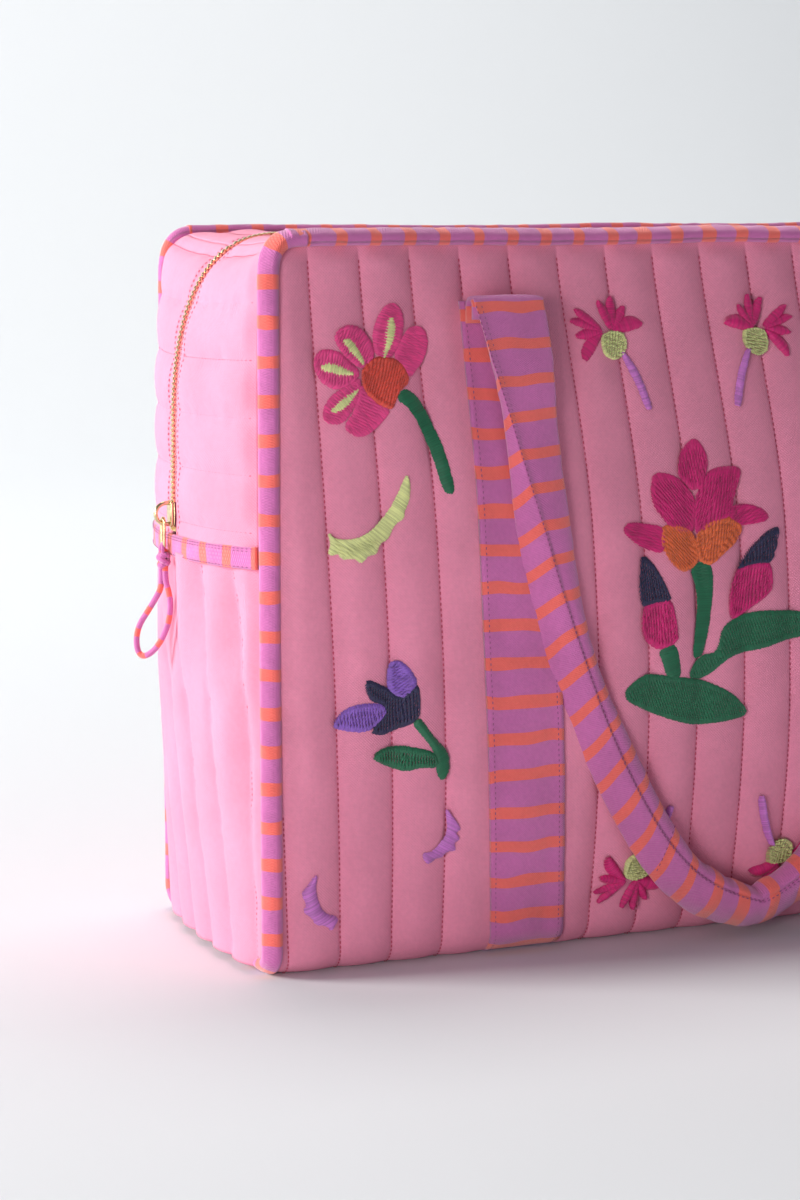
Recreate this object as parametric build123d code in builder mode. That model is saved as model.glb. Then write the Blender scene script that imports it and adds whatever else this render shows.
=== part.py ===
from build123d import *
import os

os.makedirs("parts", exist_ok=True)

# Driving dimensions in mm. X runs along the bag, -Y is the front, +Z is up.
LENGTH = 480.0  # over the two end bindings, before the ends crown
DEPTH = 150.0  # front to back at the end bindings
WALL_TOP = 343.0  # top edge of the quilted wrap, under the binding
TOP = 350.0  # top of the bound edges
WALL = 8.0  # quilted layer
BULGE = 26.0  # how far the filled front and back stand out in mid-panel
PULL_IN = 6.0  # how far the top edges draw inward in mid-span
CORNER = 14.0  # where the bottom starts to turn up
SHAVE = 0.5  # shaved off the underside to leave it truly flat
LINING = 1.2
GAP = 0.3  # clearance between soft pieces
HINGE_GAP = 1.3  # clearance where the zip strips hinge beside the bound edge
BINDING = 8.0
PROUD = 1.5
END_WALL_Y = 64.6  # half width of the crowned end pieces
END_LEVELS = [0.0, 100.0, 200.0, 300.0, 360.0]
END_CROWNS = [6.0, 16.0, 18.0, 16.0, 1.0]
BAND_LOW, BAND_HIGH = 195.0, 205.0  # striped edge across each end
STRIP_EDGE = 8.3  # where the quilted zip strips stop beside the zip
CHAIN = 2.9  # half width of the closed zip chain
TAPE = 1.2
FLAP_LOW, FLAP_HIGH = 342.8, 348.8
STRAP_X = 117.0  # strap centre from mid-bag
STRAP_WIDTH = 42.0
STRAP = 2.5
FOLD_Z = 316.0  # where each strap leaves the bag and becomes a handle
HANDLE = 5.0
SLIDER_Z = 214.0
BAIL_WIRE = 0.9
LINK_WIRE = 0.8
LOOP_WIRE = 2.4

HALF = LENGTH / 2
WRAP_END = HALF - BINDING
STATIONS = [-1.0, -0.6, 0.0, 0.6, 1.0]


def share(x):
    """How filled out the bag is at x: none at the ends, all of it in the middle."""
    return max(0.0, 1 - (x / HALF) ** 2)


def edge_y(x):
    """Half depth of the bag's mouth at x."""
    return DEPTH / 2 - PULL_IN * share(x)


def side(x, grow, floor, top):
    """Points up one side of the bag's cross-section at x, above the bottom corner."""
    half = DEPTH / 2 + grow
    fill = BULGE * share(x)
    return [
        (half, floor + CORNER),
        (half + 0.55 * fill, 70.0),
        (half + fill, 150.0),
        (half + 0.62 * fill, 260.0),
        (half - PULL_IN * share(x), top),
    ]


def section(x, at, grow, floor, top):
    """The bag's closed cross-section for x, drawn on the plane X = at."""
    back = side(x, grow, floor, top)
    front = [(-y, z) for y, z in back]
    rise = 0.5 * share(x)
    foot = back[0][0] - CORNER
    knee = CORNER * (1 - 0.5**0.5)
    with BuildSketch(Plane.YZ.offset(at)) as sketch:
        with BuildLine():
            Spline(*back, tangents=[(rise, 1), (-0.3 * share(x), 1)])
            Line(back[-1], front[-1])
            Spline(*front, tangents=[(-rise, 1), (0.3 * share(x), 1)])
            ThreePointArc(front[0], (-back[0][0] + knee, floor + knee), (-foot, floor))
            Line((-foot, floor), (foot, floor))
            ThreePointArc((foot, floor), (back[0][0] - knee, floor + knee), back[0])
        make_face()
    return sketch.sketch


def bag_solid(grow, floor, top, end):
    """The bag's filled outline between -end and end, grown or shrunk sideways, cut flat below."""
    with BuildPart() as solid:
        loft([section(s * end, s * end, grow, floor - SHAVE, top) for s in STATIONS])
        with Locations((0, 0, floor + top / 2)):
            Box(LENGTH * 2, DEPTH * 2, top, mode=Mode.INTERSECT)
    return solid.part


def ring_solid(grow, floor, top, start, width):
    """A short straight length of the bag's end cross-section."""
    with BuildPart() as solid:
        extrude(section(HALF, start, grow, floor, top), amount=width)
    return solid.part


def crown_solid(out, thick):
    """A crowned upright layer over the right end, its outside moved out by the first figure."""
    with BuildPart() as solid:
        for z, crown in zip(END_LEVELS, END_CROWNS):
            x = HALF + out
            with BuildSketch(Plane.XY.offset(z)):
                with BuildLine():
                    ThreePointArc((x, -END_WALL_Y), (x + crown, 0), (x, END_WALL_Y))
                    Line((x, END_WALL_Y), (x - thick, END_WALL_Y))
                    ThreePointArc(
                        (x - thick, END_WALL_Y), (x - thick + crown, 0), (x - thick, -END_WALL_Y)
                    )
                    Line((x - thick, -END_WALL_Y), (x, -END_WALL_Y))
                make_face()
        loft(ruled=True)
    return solid.part


def block(x, y, z):
    """A box given by its low and high values on each axis."""
    with BuildPart() as solid:
        with Locations(((x[0] + x[1]) / 2, (y[0] + y[1]) / 2, (z[0] + z[1]) / 2)):
            Box(x[1] - x[0], y[1] - y[0], z[1] - z[0])
    return solid.part


def top_strip(far, near, reach, low, high):
    """A flat strip along the rear of the mouth, from the curved edge less far to y = near."""
    xs = [s * reach for s in STATIONS]
    with BuildPart() as solid:
        with BuildSketch(Plane.XY.offset(low)):
            with BuildLine():
                Spline(*[(x, edge_y(x) - far) for x in xs])
                Line((reach, edge_y(reach) - far), (reach, near))
                Line((reach, near), (-reach, near))
                Line((-reach, near), (-reach, edge_y(reach) - far))
            make_face()
        extrude(amount=high - low)
    return solid.part


# The two ends: the right one is made here and the left one is its mirror image.
end_layer = crown_solid(0, WALL)
tape_layer = crown_solid(-2.0, TAPE)
chain_layer = crown_solid(0.4, 2.1)
band_layer = crown_solid(PROUD, WALL + PROUD)
end_room = ring_solid(-WALL - 0.8, WALL + 0.8, TOP + 5, HALF - 30, 80)
strip_sides = {"front": (-END_WALL_Y - 1, -STRIP_EDGE), "rear": (STRIP_EDGE, END_WALL_Y + 1)}
REACH = (200.0, 300.0)

with BuildPart() as right_end_panel:
    add(end_layer)
    add(end_room, mode=Mode.INTERSECT)
    add(block(REACH, (-80, 80), (0, BAND_LOW - GAP)), mode=Mode.INTERSECT)

with BuildPart() as right_end_band:
    add(band_layer)
    add(block(REACH, (-80, 80), (BAND_LOW, BAND_HIGH)), mode=Mode.INTERSECT)

with BuildPart() as right_end_front_strip:
    add(end_layer)
    add(block(REACH, strip_sides["front"], (BAND_HIGH + GAP, FLAP_HIGH)), mode=Mode.INTERSECT)

with BuildPart() as right_end_rear_strip:
    add(end_layer)
    add(block(REACH, strip_sides["rear"], (BAND_HIGH + GAP, FLAP_HIGH)), mode=Mode.INTERSECT)

with BuildPart() as right_end_tape:
    add(tape_layer)
    tape_y = STRIP_EDGE - GAP
    add(block(REACH, (-tape_y, tape_y), (BAND_HIGH + GAP, FLAP_HIGH)), mode=Mode.INTERSECT)

with BuildPart() as right_end_chain:
    add(chain_layer)
    add(block(REACH, (-CHAIN, CHAIN), (SLIDER_Z + 9, FLAP_HIGH)), mode=Mode.INTERSECT)

with BuildPart() as right_zip_stop:
    add(crown_solid(0.6, 2.3))
    add(block(REACH, (-3.6, 3.6), (BAND_HIGH + 0.5, BAND_HIGH + 2.5)), mode=Mode.INTERSECT)

with BuildPart() as right_binding:
    add(ring_solid(PROUD, 0, WALL_TOP, WRAP_END + 0.1, BINDING - 0.1))
    add(ring_solid(-WALL - 0.4, WALL + 0.4, TOP, WRAP_END - 1, BINDING + 2), mode=Mode.SUBTRACT)

right_end = {
    "end_panel": right_end_panel,
    "end_band": right_end_band,
    "end_front_strip": right_end_front_strip,
    "end_rear_strip": right_end_rear_strip,
    "end_tape": right_end_tape,
    "end_chain": right_end_chain,
    "zip_stop": right_zip_stop,
    "binding": right_binding,
}
for name, piece in right_end.items():
    piece.part.label = "right_" + name
    export_step(piece.part, "parts/right_" + name + ".step")
    with BuildPart() as twin:
        mirror(piece.part, about=Plane.YZ)
    twin.part.label = "left_" + name
    export_step(twin.part, "parts/left_" + name + ".step")

# The wrap and the two straps sewn round it. The straps lie flush in the wrap's underside.
outside = bag_solid(0, 0, WALL_TOP, WRAP_END)
strap_outside = bag_solid(STRAP, 0, WALL_TOP, WRAP_END)
strap_inside = bag_solid(0, STRAP, WALL_TOP + 1, WRAP_END + 1)
span = (STRAP_X - STRAP_WIDTH / 2, STRAP_X + STRAP_WIDTH / 2)

with BuildPart() as right_strap:
    add(strap_outside)
    add(block(span, (-150, 150), (-1, FOLD_Z)), mode=Mode.INTERSECT)
    add(strap_inside, mode=Mode.SUBTRACT)
right_strap.part.label = "right_strap"
export_step(right_strap.part, "parts/right_strap.step")

with BuildPart() as left_strap:
    mirror(right_strap.part, about=Plane.YZ)
left_strap.part.label = "left_strap"
export_step(left_strap.part, "parts/left_strap.step")

with BuildPart() as quilted_wrap:
    add(outside)
    add(bag_solid(-WALL, WALL, WALL_TOP + 2, WRAP_END + 2), mode=Mode.SUBTRACT)
    add(right_strap.part, mode=Mode.SUBTRACT)
    add(left_strap.part, mode=Mode.SUBTRACT)
quilted_wrap.part.label = "quilted_wrap"
export_step(quilted_wrap.part, "parts/quilted_wrap.step")

with BuildPart() as lining:
    skin = WALL + GAP
    add(bag_solid(-skin, skin, WALL_TOP - 1, WRAP_END - GAP))
    inner = skin + LINING
    add(bag_solid(-inner, inner, WALL_TOP + 2, WRAP_END - GAP - LINING), mode=Mode.SUBTRACT)
lining.part.label = "lining"
export_step(lining.part, "parts/lining.step")

# The mouth: bindings, quilted zip strips, tapes and chains. The front is the rear's mirror image.
with BuildPart() as rear_top_binding:
    add(top_strip(-0.75, 0, HALF, WALL_TOP + 0.2, TOP))
    add(top_strip(9.5, -5, HALF + 5, WALL_TOP - 1, TOP + 1), mode=Mode.SUBTRACT)

with BuildPart() as rear_zip_strip:
    add(top_strip(9.5 + HINGE_GAP, STRIP_EDGE, WRAP_END - 0.5, FLAP_LOW, FLAP_HIGH))

with BuildPart() as rear_zip_tape:
    add(block((-WRAP_END + 0.5, WRAP_END - 0.5), (0.3, STRIP_EDGE - 0.1), (345.0, 345.0 + TAPE)))

with BuildPart() as rear_zip_chain:
    add(block((-WRAP_END + 0.5, WRAP_END - 0.5), (0.2, CHAIN), (346.3, 348.6)))

mouth = {
    "top_binding": rear_top_binding,
    "zip_strip": rear_zip_strip,
    "zip_tape": rear_zip_tape,
    "zip_chain": rear_zip_chain,
}
for name, piece in mouth.items():
    piece.part.label = "rear_" + name
    export_step(piece.part, "parts/rear_" + name + ".step")
    with BuildPart() as twin:
        mirror(piece.part, about=Plane.XZ)
    twin.part.label = "front_" + name
    export_step(twin.part, "parts/front_" + name + ".step")

# The handles: a curved layer that follows the bag's side, cut to the handle's outline.
HANDLE_TOP = FOLD_Z - 4
HANDLE_SIDE = [(83.0, HANDLE_TOP), (92.0, 265.0), (101.5, 210.0), (104.0, 150.0), (103.0, 80.0), (99.0, 3.0)]
OUTER_LEG = [(138.0, HANDLE_TOP), (124.0, 210.0), (101.0, 131.0), (62.0, 50.0), (0.0, 4.0)]
INNER_LEG = [(101.0, HANDLE_TOP), (93.0, 196.0), (70.0, 118.0), (40.0, 62.0), (0.0, 28.0)]

with BuildPart() as rear_handle:
    with BuildSketch(Plane.YZ.offset(-140)):
        with BuildLine():
            near = Spline(*HANDLE_SIDE)
            far = Spline(*[(y + HANDLE, z) for y, z in HANDLE_SIDE])
            Line(near @ 0, far @ 0)
            Line(near @ 1, far @ 1)
        make_face()
    extrude(amount=280)
    with BuildSketch(Plane.XZ.offset(-140)):
        with BuildLine():
            Spline(*OUTER_LEG, tangents=[(0, -1), (-1, 0)])
            Spline(*[(-x, z) for x, z in OUTER_LEG], tangents=[(0, -1), (1, 0)])
            Line((-OUTER_LEG[0][0], HANDLE_TOP), (-INNER_LEG[0][0], HANDLE_TOP))
            Spline(*[(-x, z) for x, z in INNER_LEG], tangents=[(0, -1), (1, 0)])
            Spline(*INNER_LEG, tangents=[(0, -1), (-1, 0)])
            Line((INNER_LEG[0][0], HANDLE_TOP), (OUTER_LEG[0][0], HANDLE_TOP))
        make_face()
    extrude(amount=100, mode=Mode.INTERSECT)
rear_handle.part.label = "rear_handle"
export_step(rear_handle.part, "parts/rear_handle.step")

with BuildPart() as front_handle:
    mirror(rear_handle.part, about=Plane.XZ)
front_handle.part.label = "front_handle"
export_step(front_handle.part, "parts/front_handle.step")

# The zip slider at the left end, its bail, and the pull that hangs from it.
FACE_X = -HALF - 17.6 - 0.4
BAIL_X = FACE_X - 3.2
PULL_X = BAIL_X - 2.4
PULL_Z = SLIDER_Z - 2.0
LINK_LENGTH = 16.0
KNOT_Z = PULL_Z - LINK_LENGTH + LINK_WIRE - GAP - 4.4
LOOP_TOP = KNOT_Z - 4.4 - GAP

with BuildPart() as slider_body:
    with Locations((FACE_X - 1.6, 0, SLIDER_Z)):
        Box(2.4, 9.0, 13.0)
    fillet(slider_body.edges().filter_by(Axis.X), 2.0)
slider_body.part.label = "slider_body"
export_step(slider_body.part, "parts/slider_body.step")

with BuildPart() as slider_bail:
    with BuildLine() as bail_path:
        ThreePointArc((BAIL_X, 0, SLIDER_Z + 5), (BAIL_X - 6, 0, SLIDER_Z), (BAIL_X, 0, SLIDER_Z - 5))
    with BuildSketch(Plane(bail_path.line @ 0, z_dir=bail_path.line % 0)):
        Circle(BAIL_WIRE)
    sweep()
slider_bail.part.label = "slider_bail"
export_step(slider_bail.part, "parts/slider_bail.step")

with BuildPart() as pull_link:
    with BuildSketch(Plane.YZ.offset(PULL_X - LINK_WIRE)):
        with Locations((0, PULL_Z + LINK_WIRE - LINK_LENGTH / 2)):
            SlotOverall(LINK_LENGTH, 6.0, rotation=90)
            SlotOverall(LINK_LENGTH - 4 * LINK_WIRE, 2.8, rotation=90, mode=Mode.SUBTRACT)
    extrude(amount=2 * LINK_WIRE)
pull_link.part.label = "pull_link"
export_step(pull_link.part, "parts/pull_link.step")

with BuildPart() as pull_knot:
    with Locations((PULL_X, 0, KNOT_Z)):
        Cylinder(3.8, 8.8)
    fillet(pull_knot.edges(), 3.0)
pull_knot.part.label = "pull_knot"
export_step(pull_knot.part, "parts/pull_knot.step")

LOOP_WIDTH = 16.0
LOOP_DROP = 48.0
with BuildPart() as pull_loop:
    with BuildLine() as loop_path:
        FilletPolyline(
            (PULL_X, -2.0, LOOP_TOP),
            (PULL_X, -LOOP_WIDTH / 2, LOOP_TOP - LOOP_DROP / 2),
            (PULL_X, -LOOP_WIDTH / 2, LOOP_TOP - LOOP_DROP),
            (PULL_X, LOOP_WIDTH / 2, LOOP_TOP - LOOP_DROP),
            (PULL_X, LOOP_WIDTH / 2, LOOP_TOP - LOOP_DROP / 2),
            (PULL_X, 2.0, LOOP_TOP),
            radius=LOOP_WIDTH / 2 - 0.1,
        )
    with BuildSketch(Plane(loop_path.line @ 0, z_dir=loop_path.line % 0)):
        Circle(LOOP_WIRE / 2 + 0.4)
    sweep()
pull_loop.part.label = "pull_loop"
export_step(pull_loop.part, "parts/pull_loop.step")
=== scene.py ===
from math import cos, pi, sin

import bmesh
import bpy
import numpy as np
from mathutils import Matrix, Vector


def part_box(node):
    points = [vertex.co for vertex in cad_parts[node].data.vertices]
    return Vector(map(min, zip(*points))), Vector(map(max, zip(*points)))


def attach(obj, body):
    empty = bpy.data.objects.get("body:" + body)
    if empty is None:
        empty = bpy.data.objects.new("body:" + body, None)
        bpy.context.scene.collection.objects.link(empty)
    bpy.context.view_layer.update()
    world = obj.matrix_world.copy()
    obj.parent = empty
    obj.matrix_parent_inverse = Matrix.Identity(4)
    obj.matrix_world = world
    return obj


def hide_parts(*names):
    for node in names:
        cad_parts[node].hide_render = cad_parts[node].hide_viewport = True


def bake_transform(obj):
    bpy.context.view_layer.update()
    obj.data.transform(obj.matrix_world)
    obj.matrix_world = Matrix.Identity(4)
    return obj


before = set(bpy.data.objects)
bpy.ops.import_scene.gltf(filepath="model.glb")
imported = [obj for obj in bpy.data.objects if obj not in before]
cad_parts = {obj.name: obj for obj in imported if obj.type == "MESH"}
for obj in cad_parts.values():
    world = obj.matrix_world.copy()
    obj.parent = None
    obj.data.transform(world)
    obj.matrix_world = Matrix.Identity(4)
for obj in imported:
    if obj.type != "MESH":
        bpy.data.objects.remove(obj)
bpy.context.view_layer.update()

# Sizes in metres. The places of bindings, wrap and fold come from the frame; the other numbers are given.
MM = 0.001
binding_low, binding_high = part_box("left_binding")
wrap_low, wrap_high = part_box("quilted_wrap")
HALF = -binding_low[0]
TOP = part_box("front_top_binding")[1][2]
WRAP_TOP = wrap_high[2]
HALF_DEPTH = binding_high[1] - 1.5 * MM
BULGE = wrap_high[1] - HALF_DEPTH
WRAP_END = HALF - 8 * MM
PULL_IN = 13 * MM
CORNER = 13 * MM
PITCH = 26 * MM
LEAN = 0.042
FIRST_LINE = -242 * MM
STRAP_WIDTH = 38 * MM
FOLD_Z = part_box("right_strap")[1][2]
STRIPE_PITCH = 18 * MM
STITCH_STEP = 2.6 * MM
CORAL_SHARE = 0.34
EDGE_ROUND = 15 * MM
EDGE_TOP = TOP - 4.2 * MM
SIDE = WRAP_TOP - CORNER
ARC = CORNER * pi / 2
FLOOR = 2 * (HALF_DEPTH - CORNER)
ROUND = 2 * SIDE + 2 * ARC + FLOOR


# ---------------------------------------------------------------- camera
LENS = 36 * 2769.5 / 1200
CAMERA_YAW, CAMERA_PITCH = 0.398, -0.147
CAMERA_PLACE = (-0.6696, -1.2586, 0.3673)


def make_camera():
    data = bpy.data.cameras.new("camera")
    camera = bpy.data.objects.new("camera", data)
    bpy.context.scene.collection.objects.link(camera)
    bpy.context.scene.camera = camera
    data.sensor_fit = "VERTICAL"
    data.sensor_height = 36
    data.lens = LENS
    yaw, pitch = CAMERA_YAW, CAMERA_PITCH
    camera.location = CAMERA_PLACE
    aim = Vector((sin(yaw) * cos(pitch), cos(yaw) * cos(pitch), sin(pitch)))
    camera.rotation_euler = aim.to_track_quat("-Z", "Y").to_euler()


make_camera()


# ---------------------------------------------------------------- mesh helpers
def mesh_object(name, points, faces, uv=None, picks=None, materials=(), smooth=True):
    mesh = bpy.data.meshes.new(name)
    points = np.asarray(points, np.float64).reshape(-1, 3)
    faces = np.asarray(faces, np.int32)
    n = faces.shape[1]
    mesh.vertices.add(len(points))
    mesh.vertices.foreach_set("co", points.ravel())
    mesh.loops.add(faces.size)
    mesh.loops.foreach_set("vertex_index", faces.ravel())
    mesh.polygons.add(len(faces))
    mesh.polygons.foreach_set("loop_start", np.arange(0, faces.size, n, dtype=np.int32))
    mesh.polygons.foreach_set("loop_total", np.full(len(faces), n, np.int32))
    for material in materials:
        mesh.materials.append(material)
    if picks is not None:
        mesh.polygons.foreach_set("material_index", np.asarray(picks, np.int32).ravel())
    mesh.polygons.foreach_set("use_smooth", np.full(len(faces), smooth, bool))
    if uv is not None:
        layer = mesh.uv_layers.new(name="cloth")
        uv = np.asarray(uv, np.float64).reshape(-1, 2)
        layer.data.foreach_set("uv", uv[faces.ravel()].ravel())
    mesh.update()
    mesh.validate()
    obj = bpy.data.objects.new(name, mesh)
    bpy.context.scene.collection.objects.link(obj)
    return obj


def grid_faces(rows, cols, wrap_rows=False, wrap_cols=False):
    i = np.arange(rows if wrap_rows else rows - 1)
    j = np.arange(cols if wrap_cols else cols - 1)
    i, j = np.meshgrid(i, j, indexing="ij")
    a = i * cols + j
    b = ((i + 1) % rows) * cols + j
    c = ((i + 1) % rows) * cols + (j + 1) % cols
    d = i * cols + (j + 1) % cols
    return np.stack([a, b, c, d], -1).reshape(-1, 4)


def smooth_noise(u, v, seed, scale):
    """Seeded value noise, smooth, in about -1 to 1."""
    rng = np.random.default_rng(seed)
    table = rng.uniform(-1, 1, (64, 64))
    x, y = u / scale, v / scale
    xi, yi = np.floor(x).astype(int), np.floor(y).astype(int)
    fx, fy = x - xi, y - yi
    fx, fy = fx * fx * (3 - 2 * fx), fy * fy * (3 - 2 * fy)
    at = lambda a, b: table[a % 64, b % 64]
    low = at(xi, yi) * (1 - fx) + at(xi + 1, yi) * fx
    high = at(xi, yi + 1) * (1 - fx) + at(xi + 1, yi + 1) * fx
    return low * (1 - fy) + high * fy


def step(a, b, v):
    t = np.clip((v - a) / (b - a), 0, 1)
    return t * t * (3 - 2 * t)


# ---------------------------------------------------------------- materials
class Nodes:
    """Short names for building one material's nodes."""

    def __init__(self, name, rough=0.85, sheen=0.0, metal=0.0):
        self.material = bpy.data.materials.new(name)
        self.material.use_nodes = True
        self.tree = self.material.node_tree
        self.shader = self.tree.nodes["Principled BSDF"]
        self.shader.inputs["Roughness"].default_value = rough
        self.shader.inputs["Metallic"].default_value = metal
        self.shader.inputs["Sheen Weight"].default_value = sheen
        self.shader.inputs["Sheen Roughness"].default_value = 0.5

    def node(self, kind, **values):
        made = self.tree.nodes.new(kind)
        for key, value in values.items():
            setattr(made, key, value)
        return made

    def link(self, a, b):
        self.tree.links.new(a, b)

    def math(self, operation, a, b=0.0):
        made = self.node("ShaderNodeMath", operation=operation)
        for socket, value in zip(made.inputs, (a, b)):
            if isinstance(value, (int, float)):
                socket.default_value = value
            else:
                self.link(value, socket)
        return made.outputs[0]

    def noise(self, coordinates, scale, detail=3.0):
        made = self.node("ShaderNodeTexNoise")
        made.inputs["Scale"].default_value = scale
        made.inputs["Detail"].default_value = detail
        self.link(coordinates, made.inputs["Vector"])
        return made.outputs["Fac"]

    def ramp(self, factor, stops):
        made = self.node("ShaderNodeValToRGB")
        while len(made.color_ramp.elements) < len(stops):
            made.color_ramp.elements.new(0.5)
        for element, (place, colour) in zip(made.color_ramp.elements, stops):
            element.position = place
            element.color = (*colour, 1)
        self.link(factor, made.inputs["Fac"])
        return made.outputs["Color"]

    def bump(self, height, distance, strength=1.0, under=None):
        made = self.node("ShaderNodeBump")
        made.inputs["Distance"].default_value = distance
        made.inputs["Strength"].default_value = strength
        self.link(height, made.inputs["Height"])
        if under is not None:
            self.link(under, made.inputs["Normal"])
        return made.outputs["Normal"]


def srgb(r, g, b):
    """A linear colour from 0-255 screen values."""
    values = [c / 255 for c in (r, g, b)]
    return tuple(c / 12.92 if c <= 0.04045 else ((c + 0.055) / 1.055) ** 2.4 for c in values)


def tint(colour, factor):
    return tuple(min(1.0, c * factor) for c in colour)


def cloth(name, colour, thread=0.45 * MM, spread=0.08, sheen=0.1, fuzz=0.0, rough=0.9):
    """Woven cotton: a fine over-and-under weave, soft colour variation and a little nap."""
    m = Nodes(name, rough=rough, sheen=sheen)
    where = m.node("ShaderNodeUVMap", uv_map="cloth").outputs["UV"]
    split = m.node("ShaderNodeSeparateXYZ")
    m.link(where, split.inputs[0])
    turns = 2 * pi / (2 * thread)
    u = m.math("SINE", m.math("MULTIPLY", split.outputs[0], turns))
    v = m.math("SINE", m.math("MULTIPLY", split.outputs[1], turns))
    weave = m.math("MULTIPLY", u, v)
    place = m.node("ShaderNodeTexCoord").outputs["Object"]
    cloudy = m.noise(place, 28.0, 4.0)
    fine = m.noise(place, 520.0, 3.0)
    mixed = m.math("ADD", m.math("MULTIPLY", cloudy, 0.65), m.math("MULTIPLY", fine, 0.35))
    low, high = tint(colour, 1 - spread), tint(colour, 1 + spread)
    m.link(m.ramp(mixed, [(0.3, low), (0.7, high)]), m.shader.inputs["Base Color"])
    normal = m.bump(weave, 0.16 * MM, 0.8)
    nap = m.noise(place, 1400.0 if fuzz == 0 else 520.0, 3.0)
    normal = m.bump(nap, (0.15 + fuzz) * MM, 0.5, under=normal)
    m.link(normal, m.shader.inputs["Normal"])
    return m.material


def metal(name, colour, rough=0.22):
    m = Nodes(name, rough=rough, metal=1.0)
    place = m.node("ShaderNodeTexCoord").outputs["Object"]
    worn = m.noise(place, 700.0, 3.0)
    m.link(m.ramp(worn, [(0.35, tint(colour, 0.85)), (0.65, colour)]), m.shader.inputs["Base Color"])
    m.link(m.bump(worn, 0.05 * MM, 0.4), m.shader.inputs["Normal"])
    return m.material


def thread_material(name, colour):
    """Glossy embroidery thread: strands a little lighter or darker, a fine twist and a soft shine."""
    m = Nodes(name, rough=0.42, sheen=0.3)
    where = m.node("ShaderNodeUVMap", uv_map="cloth").outputs["UV"]
    split = m.node("ShaderNodeSeparateXYZ")
    m.link(where, split.inputs[0])
    strand = m.node("ShaderNodeTexWhiteNoise", noise_dimensions="1D")
    m.link(m.math("MULTIPLY", split.outputs[0], 997.0), strand.inputs["W"])
    place = m.node("ShaderNodeTexCoord").outputs["Object"]
    cloudy = m.noise(place, 160.0, 3.0)
    mixed = m.math("ADD", m.math("MULTIPLY", cloudy, 0.5), m.math("MULTIPLY", strand.outputs["Value"], 0.5))
    shade = m.ramp(mixed, [(0.2, tint(colour, 0.72)), (0.8, tint(colour, 1.2))])
    m.link(shade, m.shader.inputs["Base Color"])
    twist = m.math("SINE", m.math("MULTIPLY", split.outputs[1], 2 * pi / (0.5 * MM)))
    m.link(m.bump(twist, 0.05 * MM, 0.5), m.shader.inputs["Normal"])
    return m.material


PINK = srgb(238, 144, 176)
QUILT = cloth("quilt_cotton", PINK, thread=0.7 * MM, spread=0.1)
LINING = cloth("lining_cotton", srgb(233, 160, 184), thread=0.35 * MM)
ORCHID = cloth("orchid_cotton", srgb(206, 108, 176), thread=0.6 * MM, spread=0.14, sheen=0.5, fuzz=0.25)
CORAL = cloth("coral_cotton", srgb(252, 108, 100), thread=0.6 * MM, spread=0.12, sheen=0.5, fuzz=0.25)
TAPE = cloth("tape_weave", srgb(242, 168, 196), thread=0.6 * MM, spread=0.06)
STITCH = thread_material("stitch_thread", srgb(196, 56, 96))
BAND_STITCH = thread_material("band_thread", srgb(150, 62, 120))
GOLD = metal("gold_metal", srgb(236, 214, 168))
STRIPES = (ORCHID, CORAL)


# ---------------------------------------------------------------- the bag's surface
def share(x):
    return np.clip(1 - (x / HALF) ** 2, 0, 1)


def fill(z):
    """How far the side stands out at height z, from 0 to 1."""
    return np.sin(pi * np.clip(z / WRAP_TOP, 0, 1) ** 0.86) ** 1.15


def mouth_pull(z):
    return step(0.6 * WRAP_TOP, WRAP_TOP * 1.02, z)


def round_path(s):
    """The wrap's path at length s from the front top edge, under the bag and up the back."""
    s = np.asarray(s, float)
    y, z, ny, nz = (np.zeros_like(s) for _ in range(4))
    first, second = SIDE, SIDE + ARC
    third, fourth = second + FLOOR, second + FLOOR + ARC
    a = s < first
    y[a], z[a], ny[a] = -HALF_DEPTH, WRAP_TOP - s[a], -1
    b = (s >= first) & (s < second)
    t = (s[b] - first) / CORNER
    y[b] = -HALF_DEPTH + CORNER - CORNER * np.cos(t)
    z[b] = CORNER - CORNER * np.sin(t)
    ny[b], nz[b] = -np.cos(t), -np.sin(t)
    c = (s >= second) & (s < third)
    y[c], nz[c] = -HALF_DEPTH + CORNER + s[c] - second, -1
    d = (s >= third) & (s < fourth)
    t = (s[d] - third) / CORNER
    y[d] = HALF_DEPTH - CORNER + CORNER * np.sin(t)
    z[d] = CORNER - CORNER * np.cos(t)
    ny[d], nz[d] = np.sin(t), -np.cos(t)
    e = s >= fourth
    y[e], z[e], ny[e] = HALF_DEPTH, CORNER + s[e] - fourth, 1
    return y, z, ny, nz


def wrap_base(x, s, off=0.0):
    """A point on the wrap, filled out and pulled in at the mouth, moved off the cloth by off."""
    y, z, ny, nz = round_path(s)
    out = BULGE * share(x) ** 0.8 * fill(z) - PULL_IN * share(x) * mouth_pull(z)
    slack = 2.2 * MM * smooth_noise(x + 3, s, 5, 90 * MM) * share(x) * fill(z)
    y = y + np.sign(ny) * (out + slack) * np.where(np.abs(ny) > 0, np.abs(ny), 0)
    return np.stack([x, y + ny * off, z + nz * off], -1)


def quilt_place(x, s):
    """Distance to the nearest quilting line and the line's number."""
    q = (x - LEAN * s - FIRST_LINE) / PITCH
    line = np.round(q)
    return (q - line) * PITCH, line


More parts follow.
